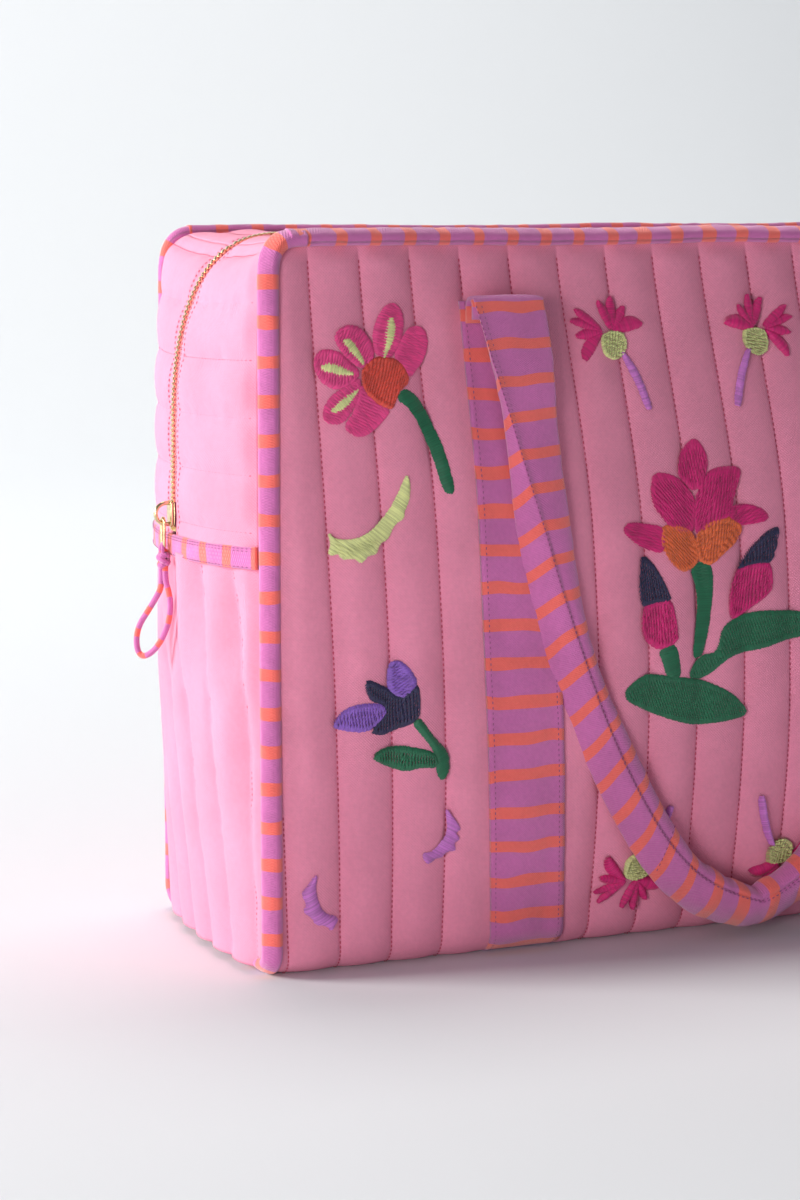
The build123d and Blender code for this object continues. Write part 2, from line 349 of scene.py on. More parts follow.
def puff(x, s):
    """How far the padding lifts the cloth between the quilting lines, with gathers beside them."""
    across, line = quilt_place(x, s)
    t = np.clip(np.abs(across) / (PITCH / 2), 0, 1)
    lift = 3.9 * MM * np.sin(pi / 2 * t) ** 0.58
    near = np.exp(-((np.abs(across) / (6.5 * MM)) ** 2))
    gather = smooth_noise(across * 0.35 + line * 0.31, s, 11, 4.2 * MM)
    gather += 0.6 * smooth_noise(across * 0.5 + line * 0.7, s, 12, 9.0 * MM)
    soft = 0.8 * MM * smooth_noise(x, s, 13, 24 * MM) * t
    front_foot = step(SIDE * 0.98, SIDE + ARC, s)
    rear_foot = 1 - step(ROUND - SIDE - ARC, ROUND - SIDE * 0.98, s)
    under = 1 - 0.8 * front_foot * rear_foot
    return (lift + 0.8 * MM * gather * near * t**0.4 + soft - 3.4 * MM) * under


def strap_centre(s, sign):
    """X of a strap's middle at length s from either mouth edge: it drifts right as the cloth does."""
    drift = np.minimum(s, ROUND / 2)
    return sign * 121.5 * MM + 14.5 * MM * (drift / SIDE) ** 2.6 * (1 if sign < 0 else 0.6)


def under_straps(x, s):
    """0 to 1: how much a sewn strap presses the padding down at x."""
    a = np.minimum(np.abs(x - strap_centre(s, -1)), np.abs(x - strap_centre(s, 1)))
    a = a + np.where(np.minimum(s, ROUND - s) < WRAP_TOP - FOLD_Z, 1, 0)
    return 1 - step(STRAP_WIDTH / 2 - 2 * MM, STRAP_WIDTH / 2 + 5 * MM, a)


def make_wrap():
    within = np.array([-1, -0.8, -0.56, -0.34, -0.17, -0.06, 0, 0.06, 0.17, 0.34, 0.56, 0.8]) / 2
    lines = np.arange(-3, 21)
    columns = (lines[:, None] + within[None]).ravel()
    ss = np.linspace(0, ROUND, 340)
    q, s = np.meshgrid(columns, ss, indexing="ij")
    reach = WRAP_END + 4 * MM
    free = FIRST_LINE + q * PITCH + LEAN * s
    x = np.clip(free, -reach, reach)
    edge = step(0, 9 * MM, np.minimum(s, ROUND - s)) * step(0, 9 * MM, reach - np.abs(x))
    lift = puff(x, s) * (1 - 0.75 * under_straps(x, s)) * edge - 2.5 * MM * (1 - edge)
    points = wrap_base(x, s, lift)
    uv = np.stack([x - LEAN * s, s], -1).reshape(-1, 2)
    faces = grid_faces(*x.shape)[:, ::-1]
    inside = np.any(np.abs(free.ravel()[faces]) < reach, axis=1)
    faces = faces[inside]
    used, faces = np.unique(faces, return_inverse=True)
    faces = faces.reshape(-1, 4)
    wrap = mesh_object("wrap_quilt", points.reshape(-1, 3)[used], faces, uv[used], materials=[QUILT])
    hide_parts("quilted_wrap")
    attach(wrap, "bag")


def stitches(name, lines, body, length=1.7 * MM, wide=0.55 * MM, material=None):
    """Short raised threads: lines is a list of (points, normals), evenly spaced points along a seam."""
    points, faces = [], []
    for path, normals in lines:
        for p, q, n in zip(path[:-1], path[1:], normals[:-1]):
            along = q - p
            size = np.linalg.norm(along)
            if size < 1e-7:
                continue
            along = along / size
            side = np.cross(along, n)
            side /= np.linalg.norm(side)
            start = len(points)
            reach = along * length * 0.5
            middle = (p + q) / 2
            w = side * wide / 2
            up = n * wide * 0.62
            points += [middle - reach - n * 0.2 * MM, middle - reach * 0.55 - w, middle - reach * 0.45 + up,
                       middle - reach * 0.55 + w, middle + reach * 0.55 - w, middle + reach * 0.45 + up,
                       middle + reach * 0.55 + w, middle + reach - n * 0.2 * MM]
            faces += [[start + a for a in f] for f in (
                (0, 1, 2), (0, 2, 3), (1, 4, 5), (1, 5, 2), (2, 5, 6), (2, 6, 3), (4, 7, 5), (5, 7, 6))]
    made = mesh_object(name, points, faces, materials=[material or STITCH])
    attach(made, body)
    return made


def surface_normals(point, a, b, d=0.5 * MM):
    """Outward normals of the surface point(a, b), by differences."""
    da = point(a + d, b) - point(a - d, b)
    db = point(a, b + d) - point(a, b - d)
    n = np.cross(da, db)
    n /= np.linalg.norm(n, axis=-1, keepdims=True)
    return n


def make_wrap_stitching():
    lines = []
    for number in range(-2, 22):
        s = np.arange(7 * MM, ROUND - 6 * MM, STITCH_STEP)
        x = FIRST_LINE + number * PITCH + LEAN * s
        keep = (np.abs(x) < WRAP_END - 1 * MM) & (under_straps(x, s) < 0.2)
        path = wrap_base(x, s, puff(x, s) + 0.55 * MM)
        normals = surface_normals(wrap_base, x, s)
        normals *= np.sign(np.sum(normals * (wrap_base(x, s, 1 * MM) - wrap_base(x, s)), -1))[:, None]
        starts = np.flatnonzero(np.diff(np.concatenate([[0], keep.astype(int), [0]])))
        for a, b in zip(starts[::2], starts[1::2]):
            if b - a > 2:
                lines.append((path[a:b], normals[a:b]))
    stitches("wrap_stitching", lines, "bag", wide=0.68 * MM)


# ---------------------------------------------------------------- striped strips
def stripe_picks(run, offset, pitch, sides):
    """Which material each face takes: 1, coral, for a share of every pitch along the run, otherwise 0."""
    middle = (run[:-1] + run[1:]) / 2
    return np.repeat((((middle + offset) / pitch) % 1 < CORAL_SHARE).astype(int), sides)


def striped(name, centre, across, up, half_width, half_thick, body, replaces=(), crown=0.5,
            offset=0.0):
    """A cotton strip along a path: centre, across and up are arrays, and the half sizes may be arrays too."""
    centre, across, up = (np.asarray(v, float) for v in (centre, across, up))
    n = len(centre)
    run = np.concatenate([[0], np.cumsum(np.linalg.norm(np.diff(centre, axis=0), axis=1))])
    sections = 20
    t = np.arange(sections) / sections * 2 * pi
    power = 0.45
    cx = np.sign(np.cos(t)) * np.abs(np.cos(t)) ** power
    cy = np.sign(np.sin(t)) * np.abs(np.sin(t)) ** (0.5 + crown)
    hw = np.broadcast_to(half_width, n)[:, None]
    ht = np.broadcast_to(half_thick, n)[:, None]
    ripple = 0.25 * MM * smooth_noise(run[:, None] + cx[None] * 7 * MM, cx[None] * 9 * MM + 1, 21, 5 * MM)
    points = (centre[:, None] + across[:, None] * (hw * cx)[..., None]
              + up[:, None] * (ht * cy + ripple)[..., None])
    lateral = hw * cx
    wobble = 0.7 * MM * smooth_noise(lateral, run[:, None] + 3, 4, 7 * MM)
    wobble = wobble * np.clip(np.minimum(run, run[-1] - run) / (4 * MM), 0, 1)[:, None]
    points = points + unit(np.gradient(centre, axis=0))[:, None] * wobble[..., None]
    faces = grid_faces(n, sections, wrap_cols=True)
    picks = stripe_picks(run, offset, STRIPE_PITCH, sections)
    around = np.broadcast_to((t / (2 * pi))[None] * 4 * np.mean(hw), (n, sections))
    uv = np.stack([np.broadcast_to(run[:, None], (n, sections)), around], -1)
    made = mesh_object(name, points, faces, uv, picks, STRIPES)
    close_ends(made, sections)
    if replaces:
        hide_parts(*replaces)
    if body:
        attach(made, body)
    return made


def close_ends(obj, sections):
    work = bmesh.new()
    work.from_mesh(obj.data)
    bmesh.ops.holes_fill(work, edges=[e for e in work.edges if e.is_boundary], sides=sections + 1)
    bmesh.ops.recalc_face_normals(work, faces=work.faces)
    work.to_mesh(obj.data)
    work.free()


def unit(v):
    return v / np.linalg.norm(v, axis=-1, keepdims=True)


def mouth_y(x):
    return HALF_DEPTH - PULL_IN * np.clip(1 - (x / (HALF - EDGE_ROUND)) ** 2, 0, 1)


def make_top_bindings():
    reach = HALF - EDGE_ROUND + 1 * MM
    x = np.arange(-reach, reach, 1.0 * MM)
    for label, sign in (("front", -1), ("rear", 1)):
        y = sign * (mouth_y(x) - 3.2 * MM)
        z = np.full_like(x, EDGE_TOP) + 0.6 * MM * smooth_noise(x, x * 0, 31, 45 * MM)
        centre = np.stack([x, y, z], -1)
        up = np.tile([0, sign * 0.35, 0.94], (len(x), 1))
        across = unit(np.cross(unit(np.gradient(centre, axis=0)), up))
        along = unit(np.gradient(centre, axis=0))
        striped(label + "_top_edge", centre, across, unit(np.cross(across, along)), 5.0 * MM, 3.4 * MM, "bag",
                [label + "_top_binding"], crown=0.35, offset=sign * 4 * MM)


def end_edge_path(sign):
    """Centre line and upward direction of one end's bound edge, round both top corners."""
    y, z, ny, nz = round_path(np.arange(EDGE_ROUND, ROUND - EDGE_ROUND, 1.0 * MM))
    x = np.full_like(y, HALF - 3.8 * MM)
    down = np.stack([x, y - ny * 1.6 * MM, z - nz * 4.7 * MM], -1)
    out = np.stack([np.full_like(y, 0.55), ny * 0.83, nz * 0.83], -1)
    turn = np.arange(0, 90, 5.0) * pi / 180
    top, facing = [], []
    for k in np.arange(9, 0, -1.5) * MM:
        top.append([HALF - EDGE_ROUND - k, -HALF_DEPTH + 3.2 * MM, EDGE_TOP])
        facing.append([0, -0.35, 0.94])
    for a in turn:
        top.append([HALF - EDGE_ROUND + (EDGE_ROUND - 3.8 * MM) * sin(a),
                    -HALF_DEPTH + (3.2 - 1.6 * a / pi * 2) * MM,
                    EDGE_TOP - EDGE_ROUND + EDGE_ROUND * cos(a)])
        facing.append([0.75 * sin(a), -0.35 - 0.48 * sin(a), 0.94 * cos(a)])
    top, facing = np.array(top), np.array(facing)
    back = top[::-1] * [1, -1, 1]
    centre = np.concatenate([top, down, back])
    up = np.concatenate([facing, out, facing[::-1] * [1, -1, 1]])
    for k in range(3):
        smooth = np.convolve(np.pad(centre[:, k], 4, mode="edge"), np.ones(9) / 9, "valid")
        centre[:, k] = smooth
    return centre * [sign, 1, 1], unit(up * [sign, 1, 1])


def make_end_bindings():
    for label, sign in (("left", -1), ("right", 1)):
        centre, up = end_edge_path(sign)
        along = unit(np.gradient(centre, axis=0))
        across = unit(np.cross(along, up))
        striped(label + "_edge", centre, across, unit(np.cross(across, along)), 5.0 * MM, 3.2 * MM, "bag",
                [label + "_binding"], crown=0.35, offset=7 * MM)


def polyline3(points, pitch, count=None):
    """Points along a line in space, pitch apart or count of them."""
    run = np.concatenate([[0], np.cumsum(np.linalg.norm(np.diff(points, axis=0), axis=1))])
    at = np.linspace(0, run[-1], count or int(run[-1] / pitch))
    return np.stack([np.interp(at, run, points[:, k]) for k in range(3)], -1)


def make_straps():
    """The two straps sewn round the bag, lying on the padding."""
    for label, sign in (("left", -1), ("right", 1)):
        low = WRAP_TOP - FOLD_Z
        s = np.arange(low, ROUND - low, 1.0 * MM)
        columns = np.linspace(-1, 1, 15)
        x = strap_centre(s, sign)[:, None] + columns[None] * STRAP_WIDTH / 2
        sg = s[:, None] + 1.2 * MM * smooth_noise(columns[None] * 19 * MM, s[:, None], 42, 12 * MM) * (
            np.clip(np.minimum(s - s[0], s[-1] - s) / (6 * MM), 0, 1)[:, None])
        across_sag = -0.6 * MM * np.cos(columns * pi / 2)
        rim = 0.5 * MM * np.exp(-(((np.abs(columns) - 0.86) / 0.05) ** 2))
        ease = step(SIDE, SIDE + ARC, sg) * (1 - step(ROUND - SIDE - ARC, ROUND - SIDE, sg))
        quilting = 0.5 * puff(x, sg)
        lift = (2.6 * MM + quilting) * (1 - ease) + 0.1 * MM * ease
        flat = np.abs(columns)[None] > 0.985
        lift = lift + across_sag[None] * (1 - ease) - rim[None] * (1 - ease)
        lift = lift + 0.25 * MM * smooth_noise(x, sg, 41, 7 * MM) - flat * 0.8 * MM
        top = wrap_base(x, sg, np.maximum(lift, 0) * (1 - ease))
        base = wrap_base(x, sg, np.maximum(lift, 0) * (1 - ease) - 2.2 * MM)
        n, m = x.shape
        points = np.concatenate([top, base[:, ::-1]], 1)
        faces = grid_faces(n, 2 * m, wrap_cols=True)
        picks = stripe_picks(s, 5 * MM, STRIPE_PITCH, 2 * m)
        uv = np.stack([np.broadcast_to(s[:, None], (n, 2 * m)), np.concatenate([x, -x[:, ::-1]], 1)], -1)
        band = mesh_object(label + "_strap_band", points, faces, uv, picks, STRIPES)
        close_ends(band, 2 * m)
        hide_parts(label + "_strap")
        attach(band, "bag")
        seams = []
        for edge in (1, m - 2):
            path = polyline3(top[:, edge], STITCH_STEP)
            away = polyline3(wrap_base(x[:, edge], sg[:, edge], 0.05), STITCH_STEP, len(path))
            seams.append((path, unit(away - path)))
        stitches(label + "_strap_stitching", seams, "bag", length=1.7 * MM, wide=0.5 * MM,
                 material=BAND_STITCH)


# ---------------------------------------------------------------- lining
def make_lining():
    xs = np.linspace(-WRAP_END + 1 * MM, WRAP_END - 1 * MM, 60)
    ss = np.linspace(1 * MM, ROUND - 1 * MM, 160)
    x, s = np.meshgrid(xs, ss, indexing="ij")
    points = wrap_base(x, s, -8.5 * MM + 0.6 * MM * smooth_noise(x, s, 51, 30 * MM))
    inner = mesh_object("lining_cloth", points, grid_faces(60, 160), np.stack([x, s], -1), materials=[LINING])
    solid = inner.modifiers.new("thick", "SOLIDIFY")
    solid.thickness = 0.8 * MM
    solid.offset = 0
    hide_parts("lining")
    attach(inner, "bag")


# ---------------------------------------------------------------- gusset: ends and zip strips
END_CROWN = 17.5 * MM
BAND_LOW, BAND_HIGH = 195 * MM, 205 * MM
GUSSET_END = BAND_HIGH - 4.5 * MM
FLAP_REACH = HALF - 12 * MM
CORNER_DROP = 99 * MM
CORNER_START = 200 * MM
GUSSET_TOP = EDGE_TOP + 0.5 * MM
GUSSET_PITCH = 26.5 * MM
GUSSET_LINE = 262.8 * MM


def polyline(points, count):
    """count points evenly spaced along a polyline."""
    points = np.asarray(points, float)
    run = np.concatenate([[0], np.cumsum(np.linalg.norm(np.diff(points, axis=0), axis=1))])
    at = np.linspace(0, run[-1], count)
    return np.stack([np.interp(at, run, points[:, k]) for k in range(2)], -1)


def corner_paths(count=240):
    """The gusset's path in X and Z from the top round the right end: along its edge and along the zip."""
    r = EDGE_ROUND
    bend = [(HALF - r + r * sin(a), GUSSET_TOP - r + r * cos(a)) for a in np.linspace(0, pi / 2, 12)]
    edge = [(CORNER_START, GUSSET_TOP), *bend, (HALF, GUSSET_END)]
    out = HALF + END_CROWN - CORNER_START
    dome = []
    for a in np.linspace(0, pi / 2, 40):
        x = CORNER_START + out * sin(a) ** (2 / 2.6)
        dome.append((x, GUSSET_TOP - CORNER_DROP * (1 - cos(a) ** (2 / 2.6))))
    middle = [*dome, (HALF + END_CROWN + 1 * MM, GUSSET_END)]
    return polyline(edge, count), polyline(middle, count)


EDGE_PATH, MIDDLE_PATH = corner_paths()
CORNER_RUN = float(np.sum(np.linalg.norm(np.diff(EDGE_PATH, axis=0), axis=1)))
GUSSET_RUN = CORNER_START + CORNER_RUN


def gusset_base(a, y, sign):
    """A point at length a from mid-bag along the zip gusset, towards the end given by sign."""
    a, y = np.broadcast_arrays(np.asarray(a, float), np.asarray(y, float))
    t = np.clip((a - CORNER_START) / CORNER_RUN, 0, 1) * (len(EDGE_PATH) - 1)
    index = np.arange(len(EDGE_PATH))
    edge = np.stack([np.interp(t, index, EDGE_PATH[:, k]) for k in range(2)], -1)
    middle = np.stack([np.interp(t, index, MIDDLE_PATH[:, k]) for k in range(2)], -1)
    room = np.where(a < CORNER_START + 30 * MM, mouth_y(np.minimum(a, HALF)), HALF_DEPTH)
    w = np.clip(1 - (y / (room - 4 * MM)) ** 2, 0, 1)[..., None] ** 0.85
    at = edge * (1 - w) + middle * w
    x = np.where(a < CORNER_START, a, at[..., 0])
    sag = -3.0 * MM * share(a) * np.sin(pi * np.clip(np.abs(y) / room, 0, 1)) ** 2
    z = np.where(a < CORNER_START, GUSSET_TOP + sag, at[..., 1] + sag * (a < HALF))
    return np.stack([sign * x, y, z], -1)


def gusset_at(sign):
    """The gusset as a function of length and Y; a negative length lies on the other side of mid-bag."""
    def base(a, y):
        return gusset_base(np.abs(a), y, sign) * np.where(a < 0, -1, 1)[..., None] ** np.array([1, 0, 0])
    return base


def outward_of(points):
    """A rough outward direction at points of the gusset, from the bag's middle."""
    return (points - np.array([0, 0, 0.15])) * [1, 0.2, 1]


def normal_of(base, a, b, outward, d=0.6 * MM):
    """Unit normals of base(a, b), turned towards outward."""
    n = np.cross(base(a + d, b) - base(a - d, b), base(a, b + d) - base(a, b - d))
    n = unit(n)
    return n * np.sign(np.sum(n * outward, -1, keepdims=True))


def gusset_puff(a, y, far, near):
    """Padding between the cross lines, flattened towards the zip and the bound edge."""
    q = (a - GUSSET_LINE) / GUSSET_PITCH
    across = np.abs(q - np.round(q)) * 2
    lift = 2.3 * MM * np.sin(pi / 2 * np.clip(across, 0, 1)) ** 0.6
    gather = 0.5 * MM * smooth_noise(y, a * 0.4, 61, 5 * MM) * np.exp(-((across / 0.45) ** 2))
    soft = 0.7 * MM * smooth_noise(a, y + 5, 62, 22 * MM)
    ends = step(0, 7 * MM, np.abs(y) - near) * step(0, 8 * MM, far - np.abs(y))
    pipe = 0.9 * MM * np.exp(-(((np.abs(y) - near - 1.5 * MM) / (1.6 * MM)) ** 2))
    return (lift + gather + soft) * ends + pipe - 1.0 * MM


def gusset_strip(name, low, high, side, sign, body, node):
    """A quilted strip from length low to high on one side of the zip."""
    near = 2.5 * MM
    a = np.arange(low, high + 0.4 * MM, 1.6 * MM)
    share_across = np.linspace(0, 1, 40)
    room = np.where(np.abs(a) < CORNER_START + 30 * MM, mouth_y(np.minimum(np.abs(a), HALF)), HALF_DEPTH)
    far = room - 4.5 * MM
    y = near + (far - near)[:, None] * share_across[None]
    aa = np.broadcast_to(a[:, None], y.shape)
    base = gusset_at(sign)
    points = base(aa, side * y)
    normal = normal_of(base, aa, side * y, outward_of(points))
    lift = gusset_puff(np.abs(aa), y, far[:, None], near)
    top = points + normal * lift[..., None]
    uv = np.stack([aa, y], -1)
    made = mesh_object(name, top, grid_faces(*y.shape), uv, materials=[QUILT])
    solid = made.modifiers.new("thick", "SOLIDIFY")
    solid.thickness = 2.4 * MM
    solid.offset = -1 if side * sign > 0 else 1
    solid.use_rim = True
    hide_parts(node)
    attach(made, body)
    lines = []
    first = np.ceil((low - GUSSET_LINE) / GUSSET_PITCH)
    last = np.floor((high - GUSSET_LINE) / GUSSET_PITCH)
    reach = (far.min() if low < 0 else HALF_DEPTH - 4.5 * MM) - 3 * MM
    across = np.arange(near + 5 * MM, reach, STITCH_STEP)
    for number in np.arange(first, last + 1):
        at = GUSSET_LINE + number * GUSSET_PITCH
        if at < low + 3 * MM or at > high - 3 * MM:
            continue
        run = np.full_like(across, at)
        p = base(run, side * across)
        n = normal_of(base, run, side * across, outward_of(p))
        lift = gusset_puff(np.abs(run), across, reach + 3 * MM, near)
        lines.append((p + n * (lift + 0.25 * MM)[:, None], n))
    run = np.arange(low + 2 * MM, high - 2 * MM, STITCH_STEP)
    beside = np.full_like(run, near + 4.6 * MM)
    p = base(run, side * beside)
    n = normal_of(base, run, side * beside, outward_of(p))
    lines.append((p + n * (gusset_puff(np.abs(run), beside, 60 * MM, near) + 0.2 * MM)[:, None], n))
    stitches(name + "_stitching", lines, body)


def make_gusset():
    for label, side in (("front", -1), ("rear", 1)):
        gusset_strip(label + "_mouth_strip", -FLAP_REACH, FLAP_REACH, side, 1, label + "_mouth",
                     label + "_zip_strip")
        for end, sign in (("left", -1), ("right", 1)):
            gusset_strip(f"{end}_{label}_end_strip", FLAP_REACH + 0.3 * MM, GUSSET_RUN, side, sign, "bag",
                         f"{end}_end_{label}_strip")


# ---------------------------------------------------------------- zip
def tooth(width, length, tall):
    """A metal zip tooth: a rounded block with a raised head, as points and faces."""
    w, l, h = width / 2, length / 2, tall
    points = [(-w, -l, 0), (w, -l, 0), (w, l, 0), (-w, l, 0),
              (-w, -l, h * 0.7), (w, -l, h * 0.7), (w, l, h * 0.7), (-w, l, h * 0.7),
              (-w * 0.6, -l * 0.6, h), (w * 0.6, -l * 0.6, h), (w * 0.6, l * 0.6, h), (-w * 0.6, l * 0.6, h)]
    faces = [(0, 3, 2, 1), (0, 1, 5, 4), (1, 2, 6, 5), (2, 3, 7, 6), (3, 0, 4, 7),
             (4, 5, 9, 8), (5, 6, 10, 9), (6, 7, 11, 10), (7, 4, 8, 11), (8, 9, 10, 11)]
    return np.array(points), faces


def zip_half(name, low, high, side, sign, body, nodes):
    """One side of the zip: its teeth, and the woven tape they are clamped on."""
    pitch = 2.5 * MM
    base = gusset_at(sign)
    a = np.arange(low + 1 * MM, high - 0.5 * MM, pitch) + (pitch / 2 if side > 0 else 0)
    y = np.full_like(a, side * 0.95 * MM)
    p = base(a, y)
    n = normal_of(base, a, y, outward_of(p))
    along = unit(base(a + 0.5 * MM, y) - base(a - 0.5 * MM, y))
    across = np.cross(n, along)
    shape, sides = tooth(1.35 * MM, 2.3 * MM, 1.5 * MM)
    points, faces = [], []
    for k in range(len(a)):
        start = len(points)
        points += list(p[k] + shape[:, :1] * along[k] + shape[:, 1:2] * across[k]
                       + (shape[:, 2:] - 0.2 * MM) * n[k])
        faces += [[start + i for i in f] for f in sides]
    teeth = mesh_object(name + "_teeth", points, faces, materials=[GOLD], smooth=False)
    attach(teeth, body)
    if nodes:
        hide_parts(*nodes)
    run = np.arange(low, high + 0.2 * MM, 2 * MM)
    q = np.linspace(0.0, 8.0, 9) * MM + 0.1 * MM
    aa, yy = np.meshgrid(run, side * q, indexing="ij")
    p = base(aa, yy)
    n = normal_of(base, aa, yy, outward_of(p))
    cord = 0.5 * MM * np.exp(-(((np.abs(yy) - 2.2 * MM) / (0.7 * MM)) ** 2))
    made = mesh_object(name + "_tape", p - n * (2.2 * MM - cord)[..., None], grid_faces(*aa.shape),
                       np.stack([aa, yy], -1), materials=[TAPE])
    solid = made.modifiers.new("thick", "SOLIDIFY")
    solid.thickness = 0.7 * MM
    solid.offset = 0
    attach(made, body)
    return teeth, made


ZIP_BOTTOM = GUSSET_RUN - 6 * MM


def make_zip():
    for label, side in (("front", -1), ("rear", 1)):
        teeth, tape = zip_half(label + "_zip", -FLAP_REACH, FLAP_REACH, side, 1, label + "_mouth",
                               [label + "_zip_chain"])
        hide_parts(label + "_zip_tape")
        for end, sign in (("left", -1), ("right", 1)):
            teeth, tape = zip_half(f"{end}_{label}_zip", FLAP_REACH + 0.3 * MM, ZIP_BOTTOM, side, sign,
                                   "bag", [])
            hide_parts(end + "_end_chain")
            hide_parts(end + "_end_tape")


# ---------------------------------------------------------------- lower end panels and their striped edge
PANEL_HALF = HALF_DEPTH - 5 * MM


def end_base(y, z, sign, off=0.0):
    """A point on an end below the zip, crowned outward."""
    y, z = np.broadcast_arrays(np.asarray(y, float), np.asarray(z, float))
    crown = (5 + 13.5 * step(-30 * MM, 150 * MM, z)) * MM
    x = HALF + crown * np.clip(1 - (y / PANEL_HALF) ** 2, 0, 1) ** 0.85 + off
    return np.stack([sign * x, y, z], -1)


def end_lean(z):
    """How far the end's channels lean over at height z: most in the 70 mm under the striped edge."""
    return 0.16 * np.clip(BAND_LOW - z, 0, 70 * MM) + 0.03 * np.clip(BAND_LOW - 70 * MM - z, 0, 1)


def end_puff(y, z):
    """Upright channels, drawn together under the striped edge and a little creased."""
    lean = end_lean(z)
    q = (y + lean * 0.8 + 52 * MM) / PITCH
    across = np.abs(q - np.round(q)) * 2
    lift = 3.4 * MM * np.sin(pi / 2 * np.clip(across, 0, 1)) ** 0.62
    gather = 0.5 * MM * smooth_noise(z, y * 0.4, 71, 5 * MM) * np.exp(-((across / 0.4) ** 2))
    fold = 2.2 * MM * smooth_noise(y - lean, z * 0.28, 72, 15 * MM) * step(0.03, 0.12, z)
    ends = step(0, 9 * MM, PANEL_HALF - np.abs(y))
    return (lift + gather + fold) * ends - 2.2 * MM


def make_end_panels():
    for end, sign in (("left", -1), ("right", 1)):
        ys = np.linspace(-PANEL_HALF - 1 * MM, PANEL_HALF + 1 * MM, 110)
        zs = np.linspace(3.5 * MM, BAND_LOW + 1.5 * MM, 120)
        y, z = np.meshgrid(ys, zs, indexing="ij")
        inset = np.clip(CORNER - z, 0, CORNER)
        squeeze = 1 - (CORNER - np.sqrt(np.clip(CORNER**2 - inset**2, 0, None))) / PANEL_HALF
        points = end_base(y, z, sign, end_puff(y, z))
        points[..., 1] *= squeeze
        made = mesh_object(end + "_end_quilt", points, grid_faces(110, 120)[:, ::sign], np.stack([z, y], -1),
                           materials=[QUILT])
        solid = made.modifiers.new("thick", "SOLIDIFY")
        solid.thickness = 3 * MM
        solid.offset = -1
        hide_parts(end + "_end_panel")
        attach(made, "bag")
        lines = []
        for number in range(0, 5):
            z1 = np.arange(8 * MM, BAND_LOW - 2 * MM, STITCH_STEP)
            y1 = -52 * MM + number * PITCH - end_lean(z1) * 0.8
            keep = np.abs(y1) < PANEL_HALF - 4 * MM
            p = end_base(y1, z1, sign, end_puff(y1, z1) + 0.25 * MM)[keep]
            if len(p) > 2:
                lines.append((p, np.tile([float(sign), 0, 0], (len(p), 1))))
        stitches(end + "_end_quilt_stitching", lines, "bag")
        y1 = np.arange(-PANEL_HALF, PANEL_HALF + 0.5 * MM, 0.8 * MM)
        middle = (BAND_LOW + BAND_HIGH) / 2 - 1.0 * MM * np.cos(y1 / PANEL_HALF * 1.2)
        centre = end_base(y1, middle, sign, 0.8 * MM)
        up = np.stack([np.full_like(y1, sign), 0.4 * y1 / PANEL_HALF, np.zeros_like(y1)], -1)
        along = unit(np.gradient(centre, axis=0))
        across = unit(np.cross(along, unit(up)))
        striped(end + "_end_stripe", centre, across, unit(np.cross(across, along)), 5.3 * MM, 1.5 * MM, "bag",
                [end + "_end_band"], crown=0.0, offset=3 * MM)
        rows = []
        for height in (-4.2, 3.2, 4.4):
            p = end_base(y1[::3], middle[::3] + height * MM, sign, 2.5 * MM)
            rows.append((p, np.tile([float(sign), 0, 0], (len(p), 1))))
        stitches(end + "_end_stripe_stitching", rows, "bag", length=1.5 * MM, wide=0.45 * MM,
                 material=BAND_STITCH)


# ---------------------------------------------------------------- zip slider and its pull
def tube(points, radius, sections=14, squeeze=1.0):
    """Points and faces of an open tube; radius may vary, and squeeze flattens it."""
    points = np.asarray(points, float)
    along = unit(np.gradient(points, axis=0))
    guide = np.array([1.0, 0.12, 0.07])
    side = unit(np.cross(along, guide))
    up = unit(np.cross(side, along))
    t = np.arange(sections) / sections * 2 * pi
    radius = np.broadcast_to(radius, len(points))[:, None, None]
    ring = side[:, None] * np.cos(t)[None, :, None] + up[:, None] * np.sin(t)[None, :, None] * squeeze
    ring = ring * radius
    return (points[:, None] + ring).reshape(-1, 3), grid_faces(len(points), sections, wrap_cols=True)


def tube_object(name, points, radius, material, slot, body, node=None, **shape):
    sections = shape.get("sections", 14)
    at, faces = tube(points, radius, **shape)
    made = mesh_object(name, at, faces, np.stack([at[:, 2], at[:, 1]], -1), materials=[material])
    close_ends(made, sections)
    if node:
        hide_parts(node)
    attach(made, body)
    return made


def smooth_line(points, count, passes=2):
    """count points along a gently rounded polyline in three dimensions."""
    points = np.asarray(points, float)
    for _ in range(passes):
        first = points[:-1] * 0.75 + points[1:] * 0.25
        second = points[:-1] * 0.25 + points[1:] * 0.75
        points = np.concatenate([points[:1], np.stack([first, second], 1).reshape(-1, 3), points[-1:]])
    run = np.concatenate([[0], np.cumsum(np.linalg.norm(np.diff(points, axis=0), axis=1))])
    at = np.linspace(0, run[-1], count)
    return np.stack([np.interp(at, run, points[:, k]) for k in range(3)], -1)


def box_part(name, outline, x0, x1, body, node, bevel=0.5 * MM):
    """A metal plate: an outline in Y and Z given depth along X, its corners rounded."""
    n = len(outline)
    points = [(x, y, z) for x in (x0, x1) for y, z in outline]
    made = mesh_object(name, points, grid_faces(2, n, wrap_cols=True), materials=[GOLD])
    close_ends(made, n)
    edge = made.modifiers.new("bevel", "BEVEL")
    edge.width = bevel
    edge.segments = 3
    if node:
        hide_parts(node)
    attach(made, body)
    return made


